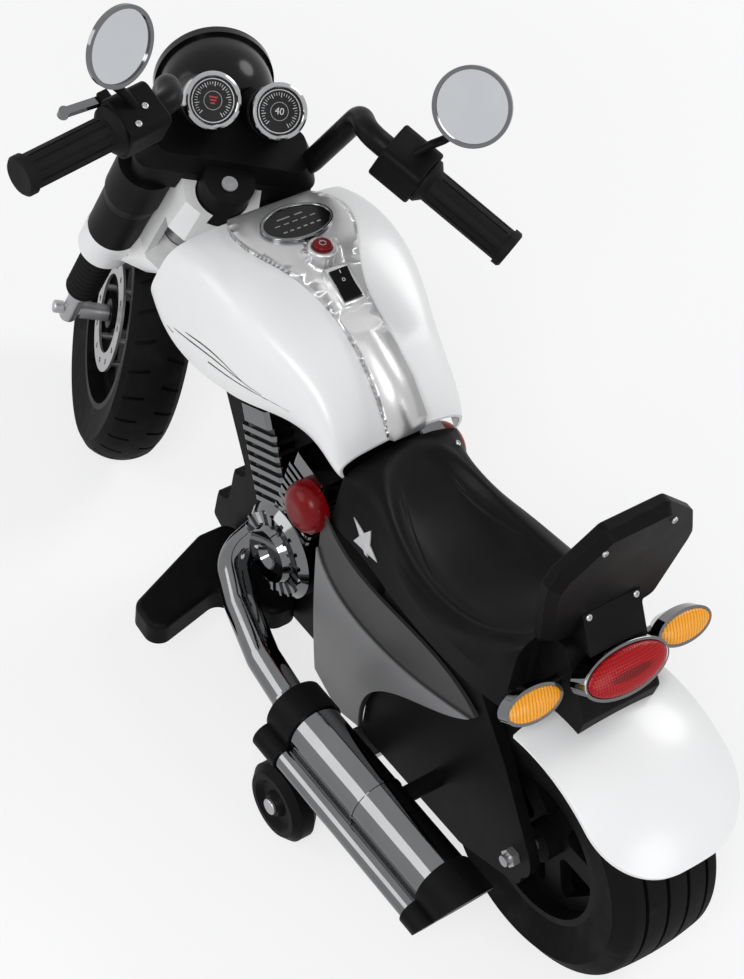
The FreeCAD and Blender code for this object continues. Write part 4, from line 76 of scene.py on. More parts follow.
class BikeSizes(bpy.types.PropertyGroup):
    """Sizes of the trim"""
    lens: bpy.props.FloatProperty(name="Lens", description="Camera lens", default=85.49, unit="CAMERA")
    gaiter_ribs: bpy.props.IntProperty(
        name="Gaiter ribs", description="Ribs on each fork gaiter", default=11, min=3)
    gaiter_radius: bpy.props.FloatProperty(
        name="Gaiter radius", description="Outer radius of the gaiter's ribs", default=0.0196, unit="LENGTH")
    gaiter_valley: bpy.props.FloatProperty(
        name="Gaiter valley", description="Radius between the gaiter's ribs", default=0.0166, unit="LENGTH")
    screw_radius: bpy.props.FloatProperty(
        name="Screw radius", description="Radius of a screw head", default=0.0034, unit="LENGTH")
    star_radius: bpy.props.FloatProperty(
        name="Star radius", description="Upward reach of the star's points", default=0.0145, unit="LENGTH")
    stripe_width: bpy.props.FloatProperty(
        name="Stripe width", description="Widest part of a pinstripe", default=0.0017, unit="LENGTH")


class BikeColours(bpy.types.PropertyGroup):
    """Colours of the main finishes"""
    pearl: bpy.props.FloatVectorProperty(
        name="Pearl white", description="Tank, fender and fork cover",
        subtype="COLOR", default=(0.80, 0.80, 0.80))
    black: bpy.props.FloatVectorProperty(
        name="Satin black", description="Moulded black plastic",
        subtype="COLOR", default=(0.0036, 0.0036, 0.0039))
    silver: bpy.props.FloatVectorProperty(
        name="Silver", description="Painted panel on the tank",
        subtype="COLOR", default=(0.50, 0.50, 0.505))
    grey: bpy.props.FloatVectorProperty(
        name="Cover grey", description="Side covers",
        subtype="COLOR", default=(0.165, 0.165, 0.168))
    chrome: bpy.props.FloatVectorProperty(
        name="Chrome", description="Plated pieces",
        subtype="COLOR", default=(0.17, 0.173, 0.177))
    red: bpy.props.FloatVectorProperty(
        name="Red", description="Tail lens, button and air cleaner",
        subtype="COLOR", default=(0.30, 0.003, 0.005))
    amber: bpy.props.FloatVectorProperty(
        name="Amber", description="Signal lenses",
        subtype="COLOR", default=(0.80, 0.32, 0.015))


class Value:
    """A socket of a finish, with arithmetic that adds Math nodes."""

    def __init__(self, finish, socket):
        self.finish = finish
        self.socket = socket

    def math(self, operation, first, second=None):
        sockets = {0: first} if second is None else {0: first, 1: second}
        return self.finish.node("ShaderNodeMath", {"operation": operation}, sockets)

    def __add__(self, other):
        return self.math("ADD", self, other)

    def __radd__(self, other):
        return self.math("ADD", other, self)

    def __sub__(self, other):
        return self.math("SUBTRACT", self, other)

    def __rsub__(self, other):
        return self.math("SUBTRACT", other, self)

    def __mul__(self, other):
        return self.math("MULTIPLY", self, other)

    def __rmul__(self, other):
        return self.math("MULTIPLY", other, self)

    def __truediv__(self, other):
        return self.math("DIVIDE", self, other)

    def __abs__(self):
        return self.math("ABSOLUTE", self)

    def wave(self, pitch):
        """Ribs of a pitch along this value, from 0 to 1."""
        return abs(self.math("SINE", self * (math.pi / pitch)))

    def part(self, name):
        """Another output of the node that gave this value."""
        return Value(self.finish, self.socket.node.outputs[name])


class Finish:
    """A procedural material: one shader, and nodes added by one method."""

    def __init__(self, name, **constants):
        self.material = bpy.data.materials.new(name)
        self.material.use_nodes = True
        self.tree = self.material.node_tree
        self.shader = self.tree.nodes["Principled BSDF"]
        self.set(**constants)

    def node(self, kind, settings=None, sockets=None):
        node = self.tree.nodes.new(kind)
        for key, value in (settings or {}).items():
            setattr(node, key, value)
        for key, value in (sockets or {}).items():
            self.feed(node.inputs[key], value)
        return Value(self, next(out for out in node.outputs if out.enabled))

    def feed(self, target, value):
        if isinstance(value, Value):
            self.tree.links.new(value.socket, target)
        else:
            target.default_value = value

    def set(self, **values):
        """Feeds the shader's sockets; a name's underscores stand for spaces."""
        for name, value in values.items():
            target = self.shader.inputs[name.replace("_", " ")]
            if name == "Base_Color" and not isinstance(value, Value):
                value = (*value[:3], 1.0)
            self.feed(target, value)
        return self

    def place(self):
        return self.node("ShaderNodeTexCoord").part("Object")

    def shifted(self, centre, turn=(0, 0, 0), scale=(1, 1, 1)):
        """Object coordinates about a centre, turned and scaled."""
        return self.node("ShaderNodeMapping", {"vector_type": "TEXTURE"}, {
            "Vector": self.place(), "Location": centre, "Rotation": turn, "Scale": scale})

    def axes(self, vector):
        node = self.node("ShaderNodeSeparateXYZ", None, {0: vector})
        return node, node.part("Y"), node.part("Z")

    def noise(self, scale, detail=3.0, vector=None):
        return self.node("ShaderNodeTexNoise", None, {
            "Vector": self.place() if vector is None else vector, "Scale": scale, "Detail": detail})

    def step(self, value, low, high, start=0.0, end=1.0):
        """Smooth rise of a value between two levels."""
        return self.node("ShaderNodeMapRange", {"interpolation_type": "SMOOTHSTEP"}, {
            "Value": value, "From Min": low, "From Max": high, "To Min": start, "To Max": end})

    def edges(self, radius):
        """1 along the sharp edges of a solid, 0 on its faces."""
        soft = self.node("ShaderNodeBevel", {"samples": 4}, {"Radius": radius})
        flat = self.node("ShaderNodeNewGeometry").part("Normal")
        facing = self.node("ShaderNodeVectorMath", {"operation": "DOT_PRODUCT"}, {0: soft, 1: flat})
        return self.step(1.0 - facing, 0.02, 0.22)

    def mix(self, factor, first, second):
        """Colour between two colours."""
        colours = [c if isinstance(c, Value) else (*c[:3], 1.0) for c in (first, second)]
        node = self.node("ShaderNodeMix", {"data_type": "RGBA"}, {0: factor, 6: colours[0], 7: colours[1]})
        return Value(self, node.socket.node.outputs[2])

    def bump(self, height, strength, distance):
        self.set(Normal=self.node("ShaderNodeBump", None, {
            "Height": height, "Strength": strength, "Distance": distance}))
        return self


def shade(colour, factor):
    return tuple(min(1.0, c * factor) for c in colour[:3])


# Finishes

def pearl_white(colour):
    f = Finish("pearl_white", Coat_Weight=0.25, Coat_Roughness=0.15)
    clouds = f.noise(5.0, 2.0)
    pearl = f.mix(clouds, shade(colour, 0.95), shade(colour, 1.03))
    f.set(Base_Color=f.mix(0.35 * f.edges(0.0012), pearl, shade(colour, 0.72)),
          Roughness=0.32 + 0.10 * f.noise(38.0))
    return f.bump(f.noise(520.0, 2.0), 0.05, 0.0004)


def scuffed_black(name, colour, rough, specular):
    """Moulded black with dusty scuffs, painted lighter along its edges: partly rubbed wear, partly a painted edge
    highlight.
    """
    f = Finish(name, Specular_IOR_Level=specular)
    scuff = f.step(f.noise(34.0, 5.0), 0.50, 0.80)
    # Edge mask: the edges are painted lighter, partly as rubbed wear and partly as a painted highlight
    wear_and_highlight_edges = f.edges(0.0010) * f.step(f.noise(90.0, 4.0), 0.40, 0.70)
    dusty = f.mix(0.6 * scuff, colour, shade(colour, 2.4))
    return f.set(Base_Color=f.mix(0.7 * wear_and_highlight_edges, dusty, shade(colour, 8.0)),
                 Roughness=rough + 0.16 * f.noise(26.0))


def satin_black(name, colour, rough, grain, strength, specular=0.06):
    """Scuffed black with a fine moulded grain."""
    f = scuffed_black(name, colour, rough, specular)
    return f.bump(f.noise(grain, 2.0), strength, 0.0005)


# Seat pad in plan: its rolled border is an ellipse, and a crease runs along each side of its dish
PAD_MIDDLE = 0.175
PAD_HALF_LENGTH = 0.158
PAD_HALF_WIDTH = 0.0675
BORDER_HEIGHT = 0.003
CREASE_FRONT = 0.297
CREASE_FRONT_HALF = 0.027
CREASE_SPREAD_SHARE = 0.32
CREASE_HALF_WIDTH = 0.0035
CREASE_REAR_FADE = (0.19, 0.22)
CREASE_FRONT_FADE = (0.28, 0.30)


def moulded_seat(colour):
    """Seat black: a rolled border round the pad and a crease along each side of its dish."""
    f = scuffed_black("moulded_seat", colour, 0.34, 0.08)
    x, y, _ = f.axes(f.place())
    along, across = x - PAD_MIDDLE, y / PAD_HALF_WIDTH
    reach = along * along / PAD_HALF_LENGTH ** 2 + across * across
    border = f.step(reach, 0.76, 0.99) - f.step(reach, 1.02, 1.34)
    aside = abs(abs(y) - CREASE_FRONT_HALF + CREASE_SPREAD_SHARE * (x - CREASE_FRONT))
    ends = f.step(x, *CREASE_REAR_FADE) * f.step(x, *CREASE_FRONT_FADE, 1.0, 0.0)
    crease = f.step(aside, 0.0, CREASE_HALF_WIDTH, 1.0, 0.0) * ends
    return f.bump(border + 0.35 * crease + 0.015 * f.noise(1500.0, 2.0), 0.7, BORDER_HEIGHT)


def gloss_black(name, colour):
    f = Finish(name, Specular_IOR_Level=0.16, Coat_Weight=0.04, Coat_Roughness=0.06)
    f.set(Base_Color=f.mix(f.noise(30.0), colour, shade(colour, 1.6)), Roughness=0.14 + 0.10 * f.noise(44.0))
    return f.bump(f.noise(300.0, 1.0), 0.03, 0.0004)


def plated(name, colour, rough, dull):
    f = Finish(name, Metallic=1.0)
    smudge = f.noise(22.0, 4.0)
    f.set(Base_Color=f.mix(smudge, shade(colour, 1.10), shade(colour, dull)),
          Roughness=rough + 0.10 * f.step(smudge, 0.45, 0.8))
    return f.bump(f.noise(120.0, 2.0), 0.05, 0.0006)


# Heights in the gauge frame between which the dark cup turns into the bright ring
RING_FOOT = (-0.0064, -0.0058)


def gauge_plating(colour):
    """Bright rings over dark satin cups."""
    f = Finish("gauge_plating")
    height = f.axes(f.shifted(GAUGES.translation, GAUGES.to_euler()))[2]
    ring = f.step(height, *RING_FOOT)
    smudge = f.noise(40.0, 4.0)
    bright = f.mix(smudge, shade(colour, 2.6), shade(colour, 1.7))
    f.set(Base_Color=f.mix(ring, (0.05, 0.05, 0.052), bright), Metallic=0.55 + 0.45 * ring,
          Roughness=0.30 - 0.22 * ring + 0.06 * smudge)
    return f.bump(f.noise(160.0, 2.0), 0.04, 0.0005)


def silver_paint(colour):
    f = Finish("silver_paint", Metallic=0.75, Coat_Weight=0.3, Coat_Roughness=0.1)
    flake = f.noise(1600.0, 1.0)
    painted = f.mix(flake, shade(colour, 0.86), shade(colour, 1.16))
    f.set(Base_Color=painted, Roughness=0.30 + 0.10 * f.noise(60.0))
    return f.bump(flake, 0.04, 0.0003)


# Bulge of a side cover: its height, twice its radius, and how far out the face under the crease lies
COVER_BULGE_HEIGHT = 0.204
COVER_BULGE_SPAN = 2.8
COVER_FACE_OUT = (0.0898, 0.0908)


def cover_grey(colour):
    """Grey side cover with painted shade and light: the band set back above its crease is painted dark as shade,
    and the face below is painted lighter towards its top and front.
    """
    f = Finish("cover_grey", Metallic=0.3)
    x, y, z = f.axes(f.place())
    fall = z - COVER_BULGE_HEIGHT
    proud = f.step(abs(y) + fall * fall / COVER_BULGE_SPAN, *COVER_FACE_OUT)
    # Painted light: the face below the crease is painted lighter towards its top and front
    rise = f.step(z + 0.25 * x, 0.16, 0.34)
    low = f.mix(rise, shade(colour, 0.85), shade(colour, 1.25))
    # Painted shade: the set-back band above the crease is painted dark
    f.set(Base_Color=f.mix(proud, shade(colour, 0.24), low), Roughness=0.34 + 0.12 * f.noise(40.0))
    return f.bump(f.noise(900.0, 2.0), 0.06, 0.0004)


def brushed(name, colour, rough):
    f = Finish(name, Metallic=0.9)
    streak = f.noise(60.0, 4.0, f.shifted((0, 0, 0), (0, 0, 0), (1.0, 0.08, 0.08)))
    f.set(Base_Color=f.mix(streak, shade(colour, 0.80), shade(colour, 1.12)), Roughness=rough + 0.15 * streak)
    return f.bump(streak, 0.05, 0.0004)


def tyre_black():
    f = Finish("tyre_black", Specular_IOR_Level=0.06)
    dust = f.step(f.noise(26.0, 6.0), 0.5, 0.75)
    f.set(Base_Color=f.mix(dust, (0.0045, 0.0045, 0.0048), (0.011, 0.0107, 0.0104)),
          Roughness=0.56 + 0.2 * f.noise(90.0))
    return f.bump(f.noise(700.0, 3.0), 0.16, 0.0006)


def soft_rubber():
    f = Finish("soft_rubber", Specular_IOR_Level=0.08)
    f.set(Base_Color=f.mix(f.noise(60.0), (0.0038, 0.0038, 0.0042), (0.009, 0.009, 0.0095)),
          Roughness=0.50 + 0.18 * f.noise(70.0))
    return f.bump(f.noise(1300.0, 2.0), 0.14, 0.0004)


def red_gloss(colour):
    f = Finish("red_gloss", Specular_IOR_Level=0.14, Coat_Weight=0.04, Coat_Roughness=0.08)
    f.set(Base_Color=f.mix(f.noise(35.0), shade(colour, 0.4), shade(colour, 0.65)),
          Roughness=0.22 + 0.08 * f.noise(50.0))
    return f.bump(f.noise(240.0), 0.03, 0.0004)


# Tail lens: its middle, its lean, and the half height and half width of its darker middle
TAIL_LENS_PLACE = (-0.004, 0, 0.377)
TAIL_LENS_LEAN = math.radians(-58.0)
TAIL_LENS_CORE = (0.0052, 0.026)

# Pitches of the prisms in the lenses
TAIL_PRISM = 0.0030
SIGNAL_PRISM = 0.0036
HEADLIGHT_PRISM = 0.0075


def red_lens(colour):
    """Tail lens: fine crossed prisms round a darker middle."""
    f = Finish("red_lens", Specular_IOR_Level=0.16, Coat_Weight=0.06, Coat_Roughness=0.05)
    x, y, _ = f.axes(f.shifted(TAIL_LENS_PLACE, (0, TAIL_LENS_LEAN, 0)))
    prisms = y.wave(TAIL_PRISM) * x.wave(TAIL_PRISM)
    reach = y * y / TAIL_LENS_CORE[1] ** 2 + x * x / TAIL_LENS_CORE[0] ** 2
    middle = f.step(reach, 0.5, 1.3)
    face = f.mix(prisms, shade(colour, 0.75), shade(colour, 1.5))
    f.set(Base_Color=f.mix(middle, shade(colour, 0.5), face), Roughness=0.20 + 0.08 * f.noise(80.0))
    return f.bump(prisms, 0.25, 0.0008)


def amber_lens(colour):
    """Signal lenses: upright prisms that wander a little."""
    f = Finish("amber_lens", Specular_IOR_Level=0.25, Coat_Weight=0.15, Coat_Roughness=0.05)
    x, y, _ = f.axes(f.place())
    prisms = (y + 0.35 * x + 0.0035 * f.noise(60.0, 1.0)).wave(SIGNAL_PRISM)
    f.set(Base_Color=f.mix(prisms, shade(colour, 0.62), shade(colour, 1.2)),
          Roughness=0.20 + 0.08 * f.noise(80.0))
    return f.bump(prisms, 0.30, 0.0010)


def clear_lens():
    """Headlight lens: upright prisms."""
    f = Finish("clear_lens", Coat_Weight=0.8, Coat_Roughness=0.05, IOR=1.45)
    prisms = f.axes(f.shifted(FORK.translation, FORK.to_euler()))[1].wave(HEADLIGHT_PRISM)
    f.set(Base_Color=f.mix(prisms, (0.42, 0.44, 0.47), (0.80, 0.82, 0.85)),
          Roughness=0.14 + 0.06 * f.noise(60.0))
    return f.bump(prisms, 0.3, 0.001)


def dial_black():
    f = Finish("dial_black", Specular_IOR_Level=0.2)
    f.set(Base_Color=f.mix(f.noise(300.0), (0.006, 0.006, 0.007), (0.012, 0.012, 0.013)),
          Roughness=0.36 + 0.1 * f.noise(120.0))
    return f.bump(f.noise(1500.0), 0.05, 0.0003)


def mirror_face():
    f = Finish("mirror_face", Metallic=1.0)
    haze = f.noise(18.0, 3.0)
    f.set(Base_Color=f.mix(haze, (0.48, 0.50, 0.53), (0.58, 0.595, 0.61)), Roughness=0.05 + 0.10 * haze)
    return f.bump(f.noise(9.0), 0.02, 0.001)


def printed(name, colour):
    f = Finish(name)
    f.set(Base_Color=f.mix(f.noise(260.0), shade(colour, 0.85), colour),
          Roughness=0.42 + 0.1 * f.noise(200.0))
    return f.bump(f.noise(900.0), 0.03, 0.0002)


def make_finishes(colours):
    chrome = tuple(colours.chrome)
    black = tuple(colours.black)
    return {
        "white_shell": pearl_white(tuple(colours.pearl)),
        "black_plastic": satin_black("black_plastic", black, 0.38, 1100.0, 0.12),
        "headlight_black": gloss_black("headlight_black", shade(black, 0.8)),
        "silver_panel": silver_paint(tuple(colours.silver)),
        "grey_cover": cover_grey(tuple(colours.grey)),
        "chrome": plated("chrome", chrome, 0.05, 0.80),
        "steel": brushed("steel", (0.42, 0.42, 0.43), 0.26),
        "silver_leg": brushed("silver_leg", (0.40, 0.40, 0.41), 0.32),
        "bar_black": satin_black("bar_black", shade(black, 0.9), 0.30, 700.0, 0.06, 0.09),
        "wheel_rim": satin_black("wheel_rim", shade(black, 1.3), 0.34, 900.0, 0.08),
        "tyre": tyre_black(),
        "trainer_black": satin_black("trainer_black", black, 0.42, 800.0, 0.16),
        "rubber": soft_rubber(),
        "seat_black": moulded_seat(shade(black, 0.9)),
        "red_plastic": red_gloss(tuple(colours.red)),
        "red_lens": red_lens(tuple(colours.red)),
        "amber_lens": amber_lens(tuple(colours.amber)),
        "clear_lens": clear_lens(),
        "dial": dial_black(),
        "mirror": mirror_face(),
        "battery": satin_black("battery", (0.03, 0.03, 0.034), 0.45, 600.0, 0.1),
    }


# Finishes by material slot, and those of the trim by colour, filled in by the operators
FINISHES = {}
TRIM = {}


# Modelling helpers

def clear():
    if bpy.context.object and bpy.context.object.mode != "OBJECT":
        bpy.ops.object.mode_set(mode="OBJECT")
    bpy.ops.object.select_all(action="DESELECT")


def settle(piece, name, body, finish, place=None, angle=35.0):
    """Puts the piece's place into its mesh, smooths it, and sets it on its body with its finish."""
    clear()
    if place is not None:
        piece.matrix_world = place @ piece.matrix_world
    piece.select_set(True)
    bpy.context.view_layer.objects.active = piece
    bpy.ops.object.transform_apply(location=True, rotation=True, scale=True)
    bpy.ops.object.shade_smooth_by_angle(angle=math.radians(angle))
    piece.name = name
    piece.data.name = name
    piece.data.materials.clear()
    piece.data.materials.append(finish.material)
    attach(piece, body)
    return piece


def copied(piece, name, body, place):
    """A copy of a finished piece with its own mesh, moved by a matrix."""
    clear()
    piece.select_set(True)
    bpy.context.view_layer.objects.active = piece
    bpy.ops.object.duplicate(linked=False)
    copy = bpy.context.object
    copy.data.transform(place)
    if place.determinant() < 0:
        copy.data.flip_normals()
    copy.name = name
    copy.data.name = name
    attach(copy, body)
    return copy


def pick_faces(piece, test):
    """Selects the faces whose centre and normal pass the test, in edit mode."""
    bpy.ops.object.mode_set(mode="OBJECT")
    for face in piece.data.polygons:
        face.select = bool(test(face.center, face.normal))
    bpy.ops.object.mode_set(mode="EDIT")
    bpy.ops.mesh.select_mode(type="FACE")


def applied(piece, kind, **settings):
    """Adds a modifier and applies it."""
    modifier = piece.modifiers.new(kind.title(), kind)
    for key, value in settings.items():
        setattr(modifier, key, value)
    bpy.context.view_layer.objects.active = piece
    bpy.ops.object.modifier_apply(modifier=modifier.name)


def joined(pieces):
    clear()
    for piece in pieces:
        piece.select_set(True)
    bpy.context.view_layer.objects.active = pieces[0]
    bpy.ops.object.join()
    return bpy.context.object


def laid(piece, node, place):
    """Lays a flat piece on a solid: its plane follows the solid's face, and Z is the height above it."""
    for vertex in piece.data.vertices:
        spot = place @ Vector((vertex.co.x, vertex.co.y, 0))
        found, point, normal, face = NODES[node].closest_point_on_mesh(spot)
        if not found:
            raise RuntimeError("nothing of %s under a laid piece" % node)
        vertex.co = point + normal * vertex.co.z
    return piece


def thickened(piece, height):
    """Gives a flat sheet in edit mode a thickness upwards, closed all round."""
    bpy.ops.mesh.select_all(action="SELECT")
    bpy.ops.mesh.extrude_region_move(TRANSFORM_OT_translate={"value": (0, 0, height)})
    bpy.ops.mesh.select_all(action="SELECT")
    bpy.ops.mesh.normals_make_consistent(inside=False)
    bpy.ops.object.mode_set(mode="OBJECT")
    return piece


# Stage

CAMERA_PLACE = (-0.866, 1.131, 1.955)
CAMERA_ANGLES = (-42.49, 45.02, 9.02)
SENSOR_WIDTH = 36.0
VIEW_END = 50.0
FLOOR_SIZE = 14.0
FLOOR_PLACE = (0.3, 0, -0.0005)
FLOOR_MIDDLE = (0.35, 0, 0)
FLOOR_FADE = (0.9, 2.6)

# Each lamp's name, place, target, diameter and power
LAMPS = (
    ("key_lamp", (-1.2, 1.9, 2.6), (0.35, 0, 0.3), 1.3, 50.0),
    ("fill_lamp", (1.6, 2.2, 1.5), (0.4, 0, 0.3), 1.8, 21.0),
    ("rim_lamp", (0.2, -2.4, 2.4), (0.35, 0, 0.35), 1.4, 36.0),
    ("rear_lamp", (-2.4, -0.4, 1.2), (0.2, 0, 0.3), 1.2, 16.0),
)


def aimed_camera(lens):
    """Camera at the photograph's viewing angle."""
    yaw, pitch, roll = (math.radians(a) for a in CAMERA_ANGLES)
    ahead = Vector((math.cos(yaw) * math.cos(pitch), math.sin(yaw) * math.cos(pitch), -math.sin(pitch)))
    right = Vector((math.sin(yaw), -math.cos(yaw), 0))
    up = right.cross(ahead)
    side = right * math.cos(roll) + up * math.sin(roll)
    top = up * math.cos(roll) - right * math.sin(roll)
    data = bpy.data.cameras.new("photo_camera")
    data.lens = lens
    data.sensor_width = SENSOR_WIDTH
    data.clip_end = VIEW_END
    camera = bpy.data.objects.new("photo_camera", data)
    turn = Matrix((side, top, -ahead)).transposed().to_4x4()
    camera.matrix_world = Matrix.Translation(CAMERA_PLACE) @ turn
    bpy.context.scene.collection.objects.link(camera)
    bpy.context.scene.camera = camera


def soft_lamp(name, place, target, size, power):
    data = bpy.data.lights.new(name, "AREA")
    data.shape = "DISK"
    data.size = size
    data.energy = power
    lamp = bpy.data.objects.new(name, data)
    way = Vector(target) - Vector(place)
    lamp.matrix_world = Matrix.Translation(place) @ way.to_track_quat("-Z", "Y").to_matrix().to_4x4()
    bpy.context.scene.collection.objects.link(lamp)


def seen_directly(tree):
    """1 for what the camera, a gloss or a glass sees, 0 for the light on the object."""
    path = tree.nodes.new("ShaderNodeLightPath")
    total = path.outputs["Is Camera Ray"]
    for name in ("Is Glossy Ray", "Is Transmission Ray"):
        both = tree.nodes.new("ShaderNodeMath")
        both.operation = "MAXIMUM"
        tree.links.new(total, both.inputs[0])
        tree.links.new(path.outputs[name], both.inputs[1])
        total = both.outputs[0]
    return total


def pale_world():
    world = bpy.data.worlds.new("pale_world")
    bpy.context.scene.world = world
    world.use_nodes = True
    tree = world.node_tree
    tree.nodes.clear()
    light = tree.nodes.new("ShaderNodeBackground")
    light.inputs["Color"].default_value = (0.93, 0.96, 1.0, 1.0)
    light.inputs["Strength"].default_value = 0.28
    seen = tree.nodes.new("ShaderNodeBackground")
    seen.inputs["Color"].default_value = (1.0, 1.0, 1.0, 1.0)
    seen.inputs["Strength"].default_value = 1.0
    mix = tree.nodes.new("ShaderNodeMixShader")
    out = tree.nodes.new("ShaderNodeOutputWorld")
    tree.links.new(seen_directly(tree), mix.inputs["Fac"])
    tree.links.new(light.outputs[0], mix.inputs[1])
    tree.links.new(seen.outputs[0], mix.inputs[2])
    tree.links.new(mix.outputs[0], out.inputs["Surface"])


def floor_white():
    """Pale floor that keeps the shadow and fades to white away from the bike."""
    f = Finish("floor_white", Roughness=0.9)
    f.set(Base_Color=f.mix(f.noise(2.0), (0.90, 0.90, 0.90), (0.93, 0.93, 0.93)))
    glow = f.node("ShaderNodeEmission", None, {"Color": (1, 1, 1, 1), "Strength": 1.0})
    far = f.node("ShaderNodeVectorMath", {"operation": "LENGTH"}, {0: f.shifted(FLOOR_MIDDLE)})
    share = f.step(far, *FLOOR_FADE, 0.72, 1.0) * Value(f, seen_directly(f.tree))
    both = f.node("ShaderNodeMixShader", None, {0: share, 1: Value(f, f.shader.outputs[0]), 2: glow})
    f.tree.links.new(both.socket, f.tree.nodes["Material Output"].inputs["Surface"])
    return f


class MOTORBIKE_OT_stage(bpy.types.Operator):
    """Camera, pale floor and soft studio light"""
    bl_idname = "motorbike.stage"
    bl_label = "Stage"

    def execute(self, context):
        scene = context.scene
        scene.view_settings.view_transform = "Standard"
        aimed_camera(scene.bike_sizes.lens)
        pale_world()
        clear()
        bpy.ops.mesh.primitive_plane_add(size=FLOOR_SIZE, location=FLOOR_PLACE)
        floor = context.object
        floor.name = "floor"
        bpy.ops.object.transform_apply(location=True, rotation=True, scale=True)
        floor.data.materials.append(floor_white().material)
        for lamp in LAMPS:
            soft_lamp(*lamp)
        return {"FINISHED"}


class MOTORBIKE_OT_finishes(bpy.types.Operator):
    """Gives every solid of the motorbike its finish"""
    bl_idname = "motorbike.finishes"
    bl_label = "Finishes"

    def execute(self, context):
        colours = context.scene.bike_colours
        FINISHES.update(make_finishes(colours))
        TRIM["white"] = printed("print_white", (0.62, 0.62, 0.62))
        TRIM["grey"] = printed("print_grey", (0.30, 0.30, 0.31))
        TRIM["red"] = printed("print_red", (0.40, 0.015, 0.03))
        TRIM["black"] = printed("print_black", (0.010, 0.010, 0.011))
        TRIM["star"] = printed("star_silver", (0.50, 0.50, 0.51))
        slots = {row["node"]: row["material_slot"] for row in frame["record"]["subparts"]}
        for name, node in NODES.items():
            node.data.materials.clear()
            node.data.materials.append(FINISHES[slots[name]].material)
        NODES["gauge_rings"].data.materials[0] = gauge_plating(tuple(colours.chrome)).material
        return {"FINISHED"}


# Left gaiter in the fork frame: its ends along the tube, the tube's distance from the middle, and its wall
GAITER_LOW = 0.0522
GAITER_HIGH = 0.1528
GAITER_REACH = 0.072
GAITER_WALL = 0.004
ROWS_PER_RIB = 8


class MOTORBIKE_OT_gaiters(bpy.types.Operator):
    """Soft ribbed gaiters over the fork tubes"""
    bl_idname = "motorbike.gaiters"
    bl_label = "Gaiters"

    def execute(self, context):
        sizes = context.scene.bike_sizes
        low, length, reach = GAITER_LOW, GAITER_HIGH - GAITER_LOW, GAITER_REACH
        rows = sizes.gaiter_ribs * ROWS_PER_RIB
        clear()
        bpy.ops.mesh.primitive_cylinder_add(radius=sizes.gaiter_valley, depth=length, vertices=48,
                                            end_fill_type="NOTHING", location=(0, reach, low + length / 2))
        gaiter = context.object
        bpy.ops.object.transform_apply(location=True, rotation=True, scale=True)
        bpy.ops.object.mode_set(mode="EDIT")
        for i in range(1, rows):
            bpy.ops.mesh.select_all(action="SELECT")
            bpy.ops.mesh.bisect(plane_co=(0, reach, low + length * i / rows), plane_no=(0, 0, 1))
        bpy.ops.object.mode_set(mode="OBJECT")
        for vertex in gaiter.data.vertices:
            phase = (vertex.co.z - low) / length * sizes.gaiter_ribs * 2 * math.pi
            swell = (0.5 - 0.5 * math.cos(phase)) ** 0.7
            radius = sizes.gaiter_valley + (sizes.gaiter_radius - sizes.gaiter_valley) * swell
            out = Vector((vertex.co.x, vertex.co.y - reach, 0)).normalized()
            vertex.co.x = out.x * radius
            vertex.co.y = reach + out.y * radius
        applied(gaiter, "SOLIDIFY", thickness=GAITER_WALL, offset=-1.0)
        settle(gaiter, "gaiter_left", "steering", FINISHES["rubber"], FORK, 60.0)
        copied(gaiter, "gaiter_right", "steering", FORK @ MIRRORED @ FORK.inverted())
        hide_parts("fork_gaiters")
        return {"FINISHED"}


# Dials

DIAL_FACE = 0.0021
PRINT_HEIGHT = 0.0004
THIN_PRINT = 0.0003

# Each printed ring's name, inner and outer radius and colour
DIAL_RINGS = (("dial_ring_", 0.0210, 0.0220, "white"), ("dial_middle_ring_", 0.0088, 0.0095, "grey"))

# Ticks, charge bars and number on the dials
TICKS = 33
TICK_ENDS = (0.0158, 0.0188)
TICK_WIDTH = 0.0005
LONG_TICK = 0.0016
TICK_FAN = 140.0
CHARGE_BARS = 3
CHARGE_BAR = (0.0016, 0.0090)
CHARGE_BAR_TOP = 0.0034
CHARGE_BAR_PITCH = 0.0030
CHARGE_BAR_STEP = 0.0022
NUMBER_SIZE = 0.0098
NUMBER_DEPTH = 0.0005


def flat_ring(inner, outer, height):
    """Low ring with bevelled edges, standing along Z."""
    clear()
    bpy.ops.mesh.primitive_circle_add(vertices=64, radius=outer, fill_type="NGON")
    ring = bpy.context.object
    bpy.ops.object.mode_set(mode="EDIT")
    bpy.ops.mesh.select_all(action="SELECT")
    bpy.ops.mesh.inset(thickness=outer - inner)
    bpy.ops.mesh.delete(type="FACE")
    thickened(ring, height)
    applied(ring, "BEVEL", width=height * 0.3, segments=1, limit_method="ANGLE")
    return ring


def dial_place(side):
    """Middle of a dial's face, Z out of the face and X towards the dial's top."""
    return GAUGES @ Matrix.Translation((0, GAUGE_REACH * side, DIAL_FACE))


def flat_bar(length, width, height, place, turn=0.0):
    """Low bar with a narrowed top, from its middle, turned about the origin."""
    clear()
    bpy.ops.mesh.primitive_cube_add(size=1.0, location=(place[0], place[1], height / 2))
    bar = bpy.context.object
    bar.scale = (length, width, height)
    bpy.ops.object.transform_apply(location=True, rotation=True, scale=True)
    pick_faces(bar, lambda c, n: n.z > 0.9)
    bpy.ops.mesh.inset(thickness=min(length, width) * 0.2)
    bpy.ops.object.mode_set(mode="OBJECT")
    bar.data.transform(Matrix.Rotation(turn, 4, "Z"))
    return bar


def tick_marks():
    """Short bars fanned round a dial, open at the bottom, every fourth one longer."""
    inner, outer = TICK_ENDS
    bars = []
    for i in range(TICKS):
        turn = math.radians(TICK_FAN * (2 * i / (TICKS - 1) - 1))
        start, width = (inner, TICK_WIDTH) if i % 4 else (inner - LONG_TICK, TICK_WIDTH * 1.4)
        bars.append(flat_bar(outer - start, width, THIN_PRINT, ((start + outer) / 2, 0), turn))
    return joined(bars)


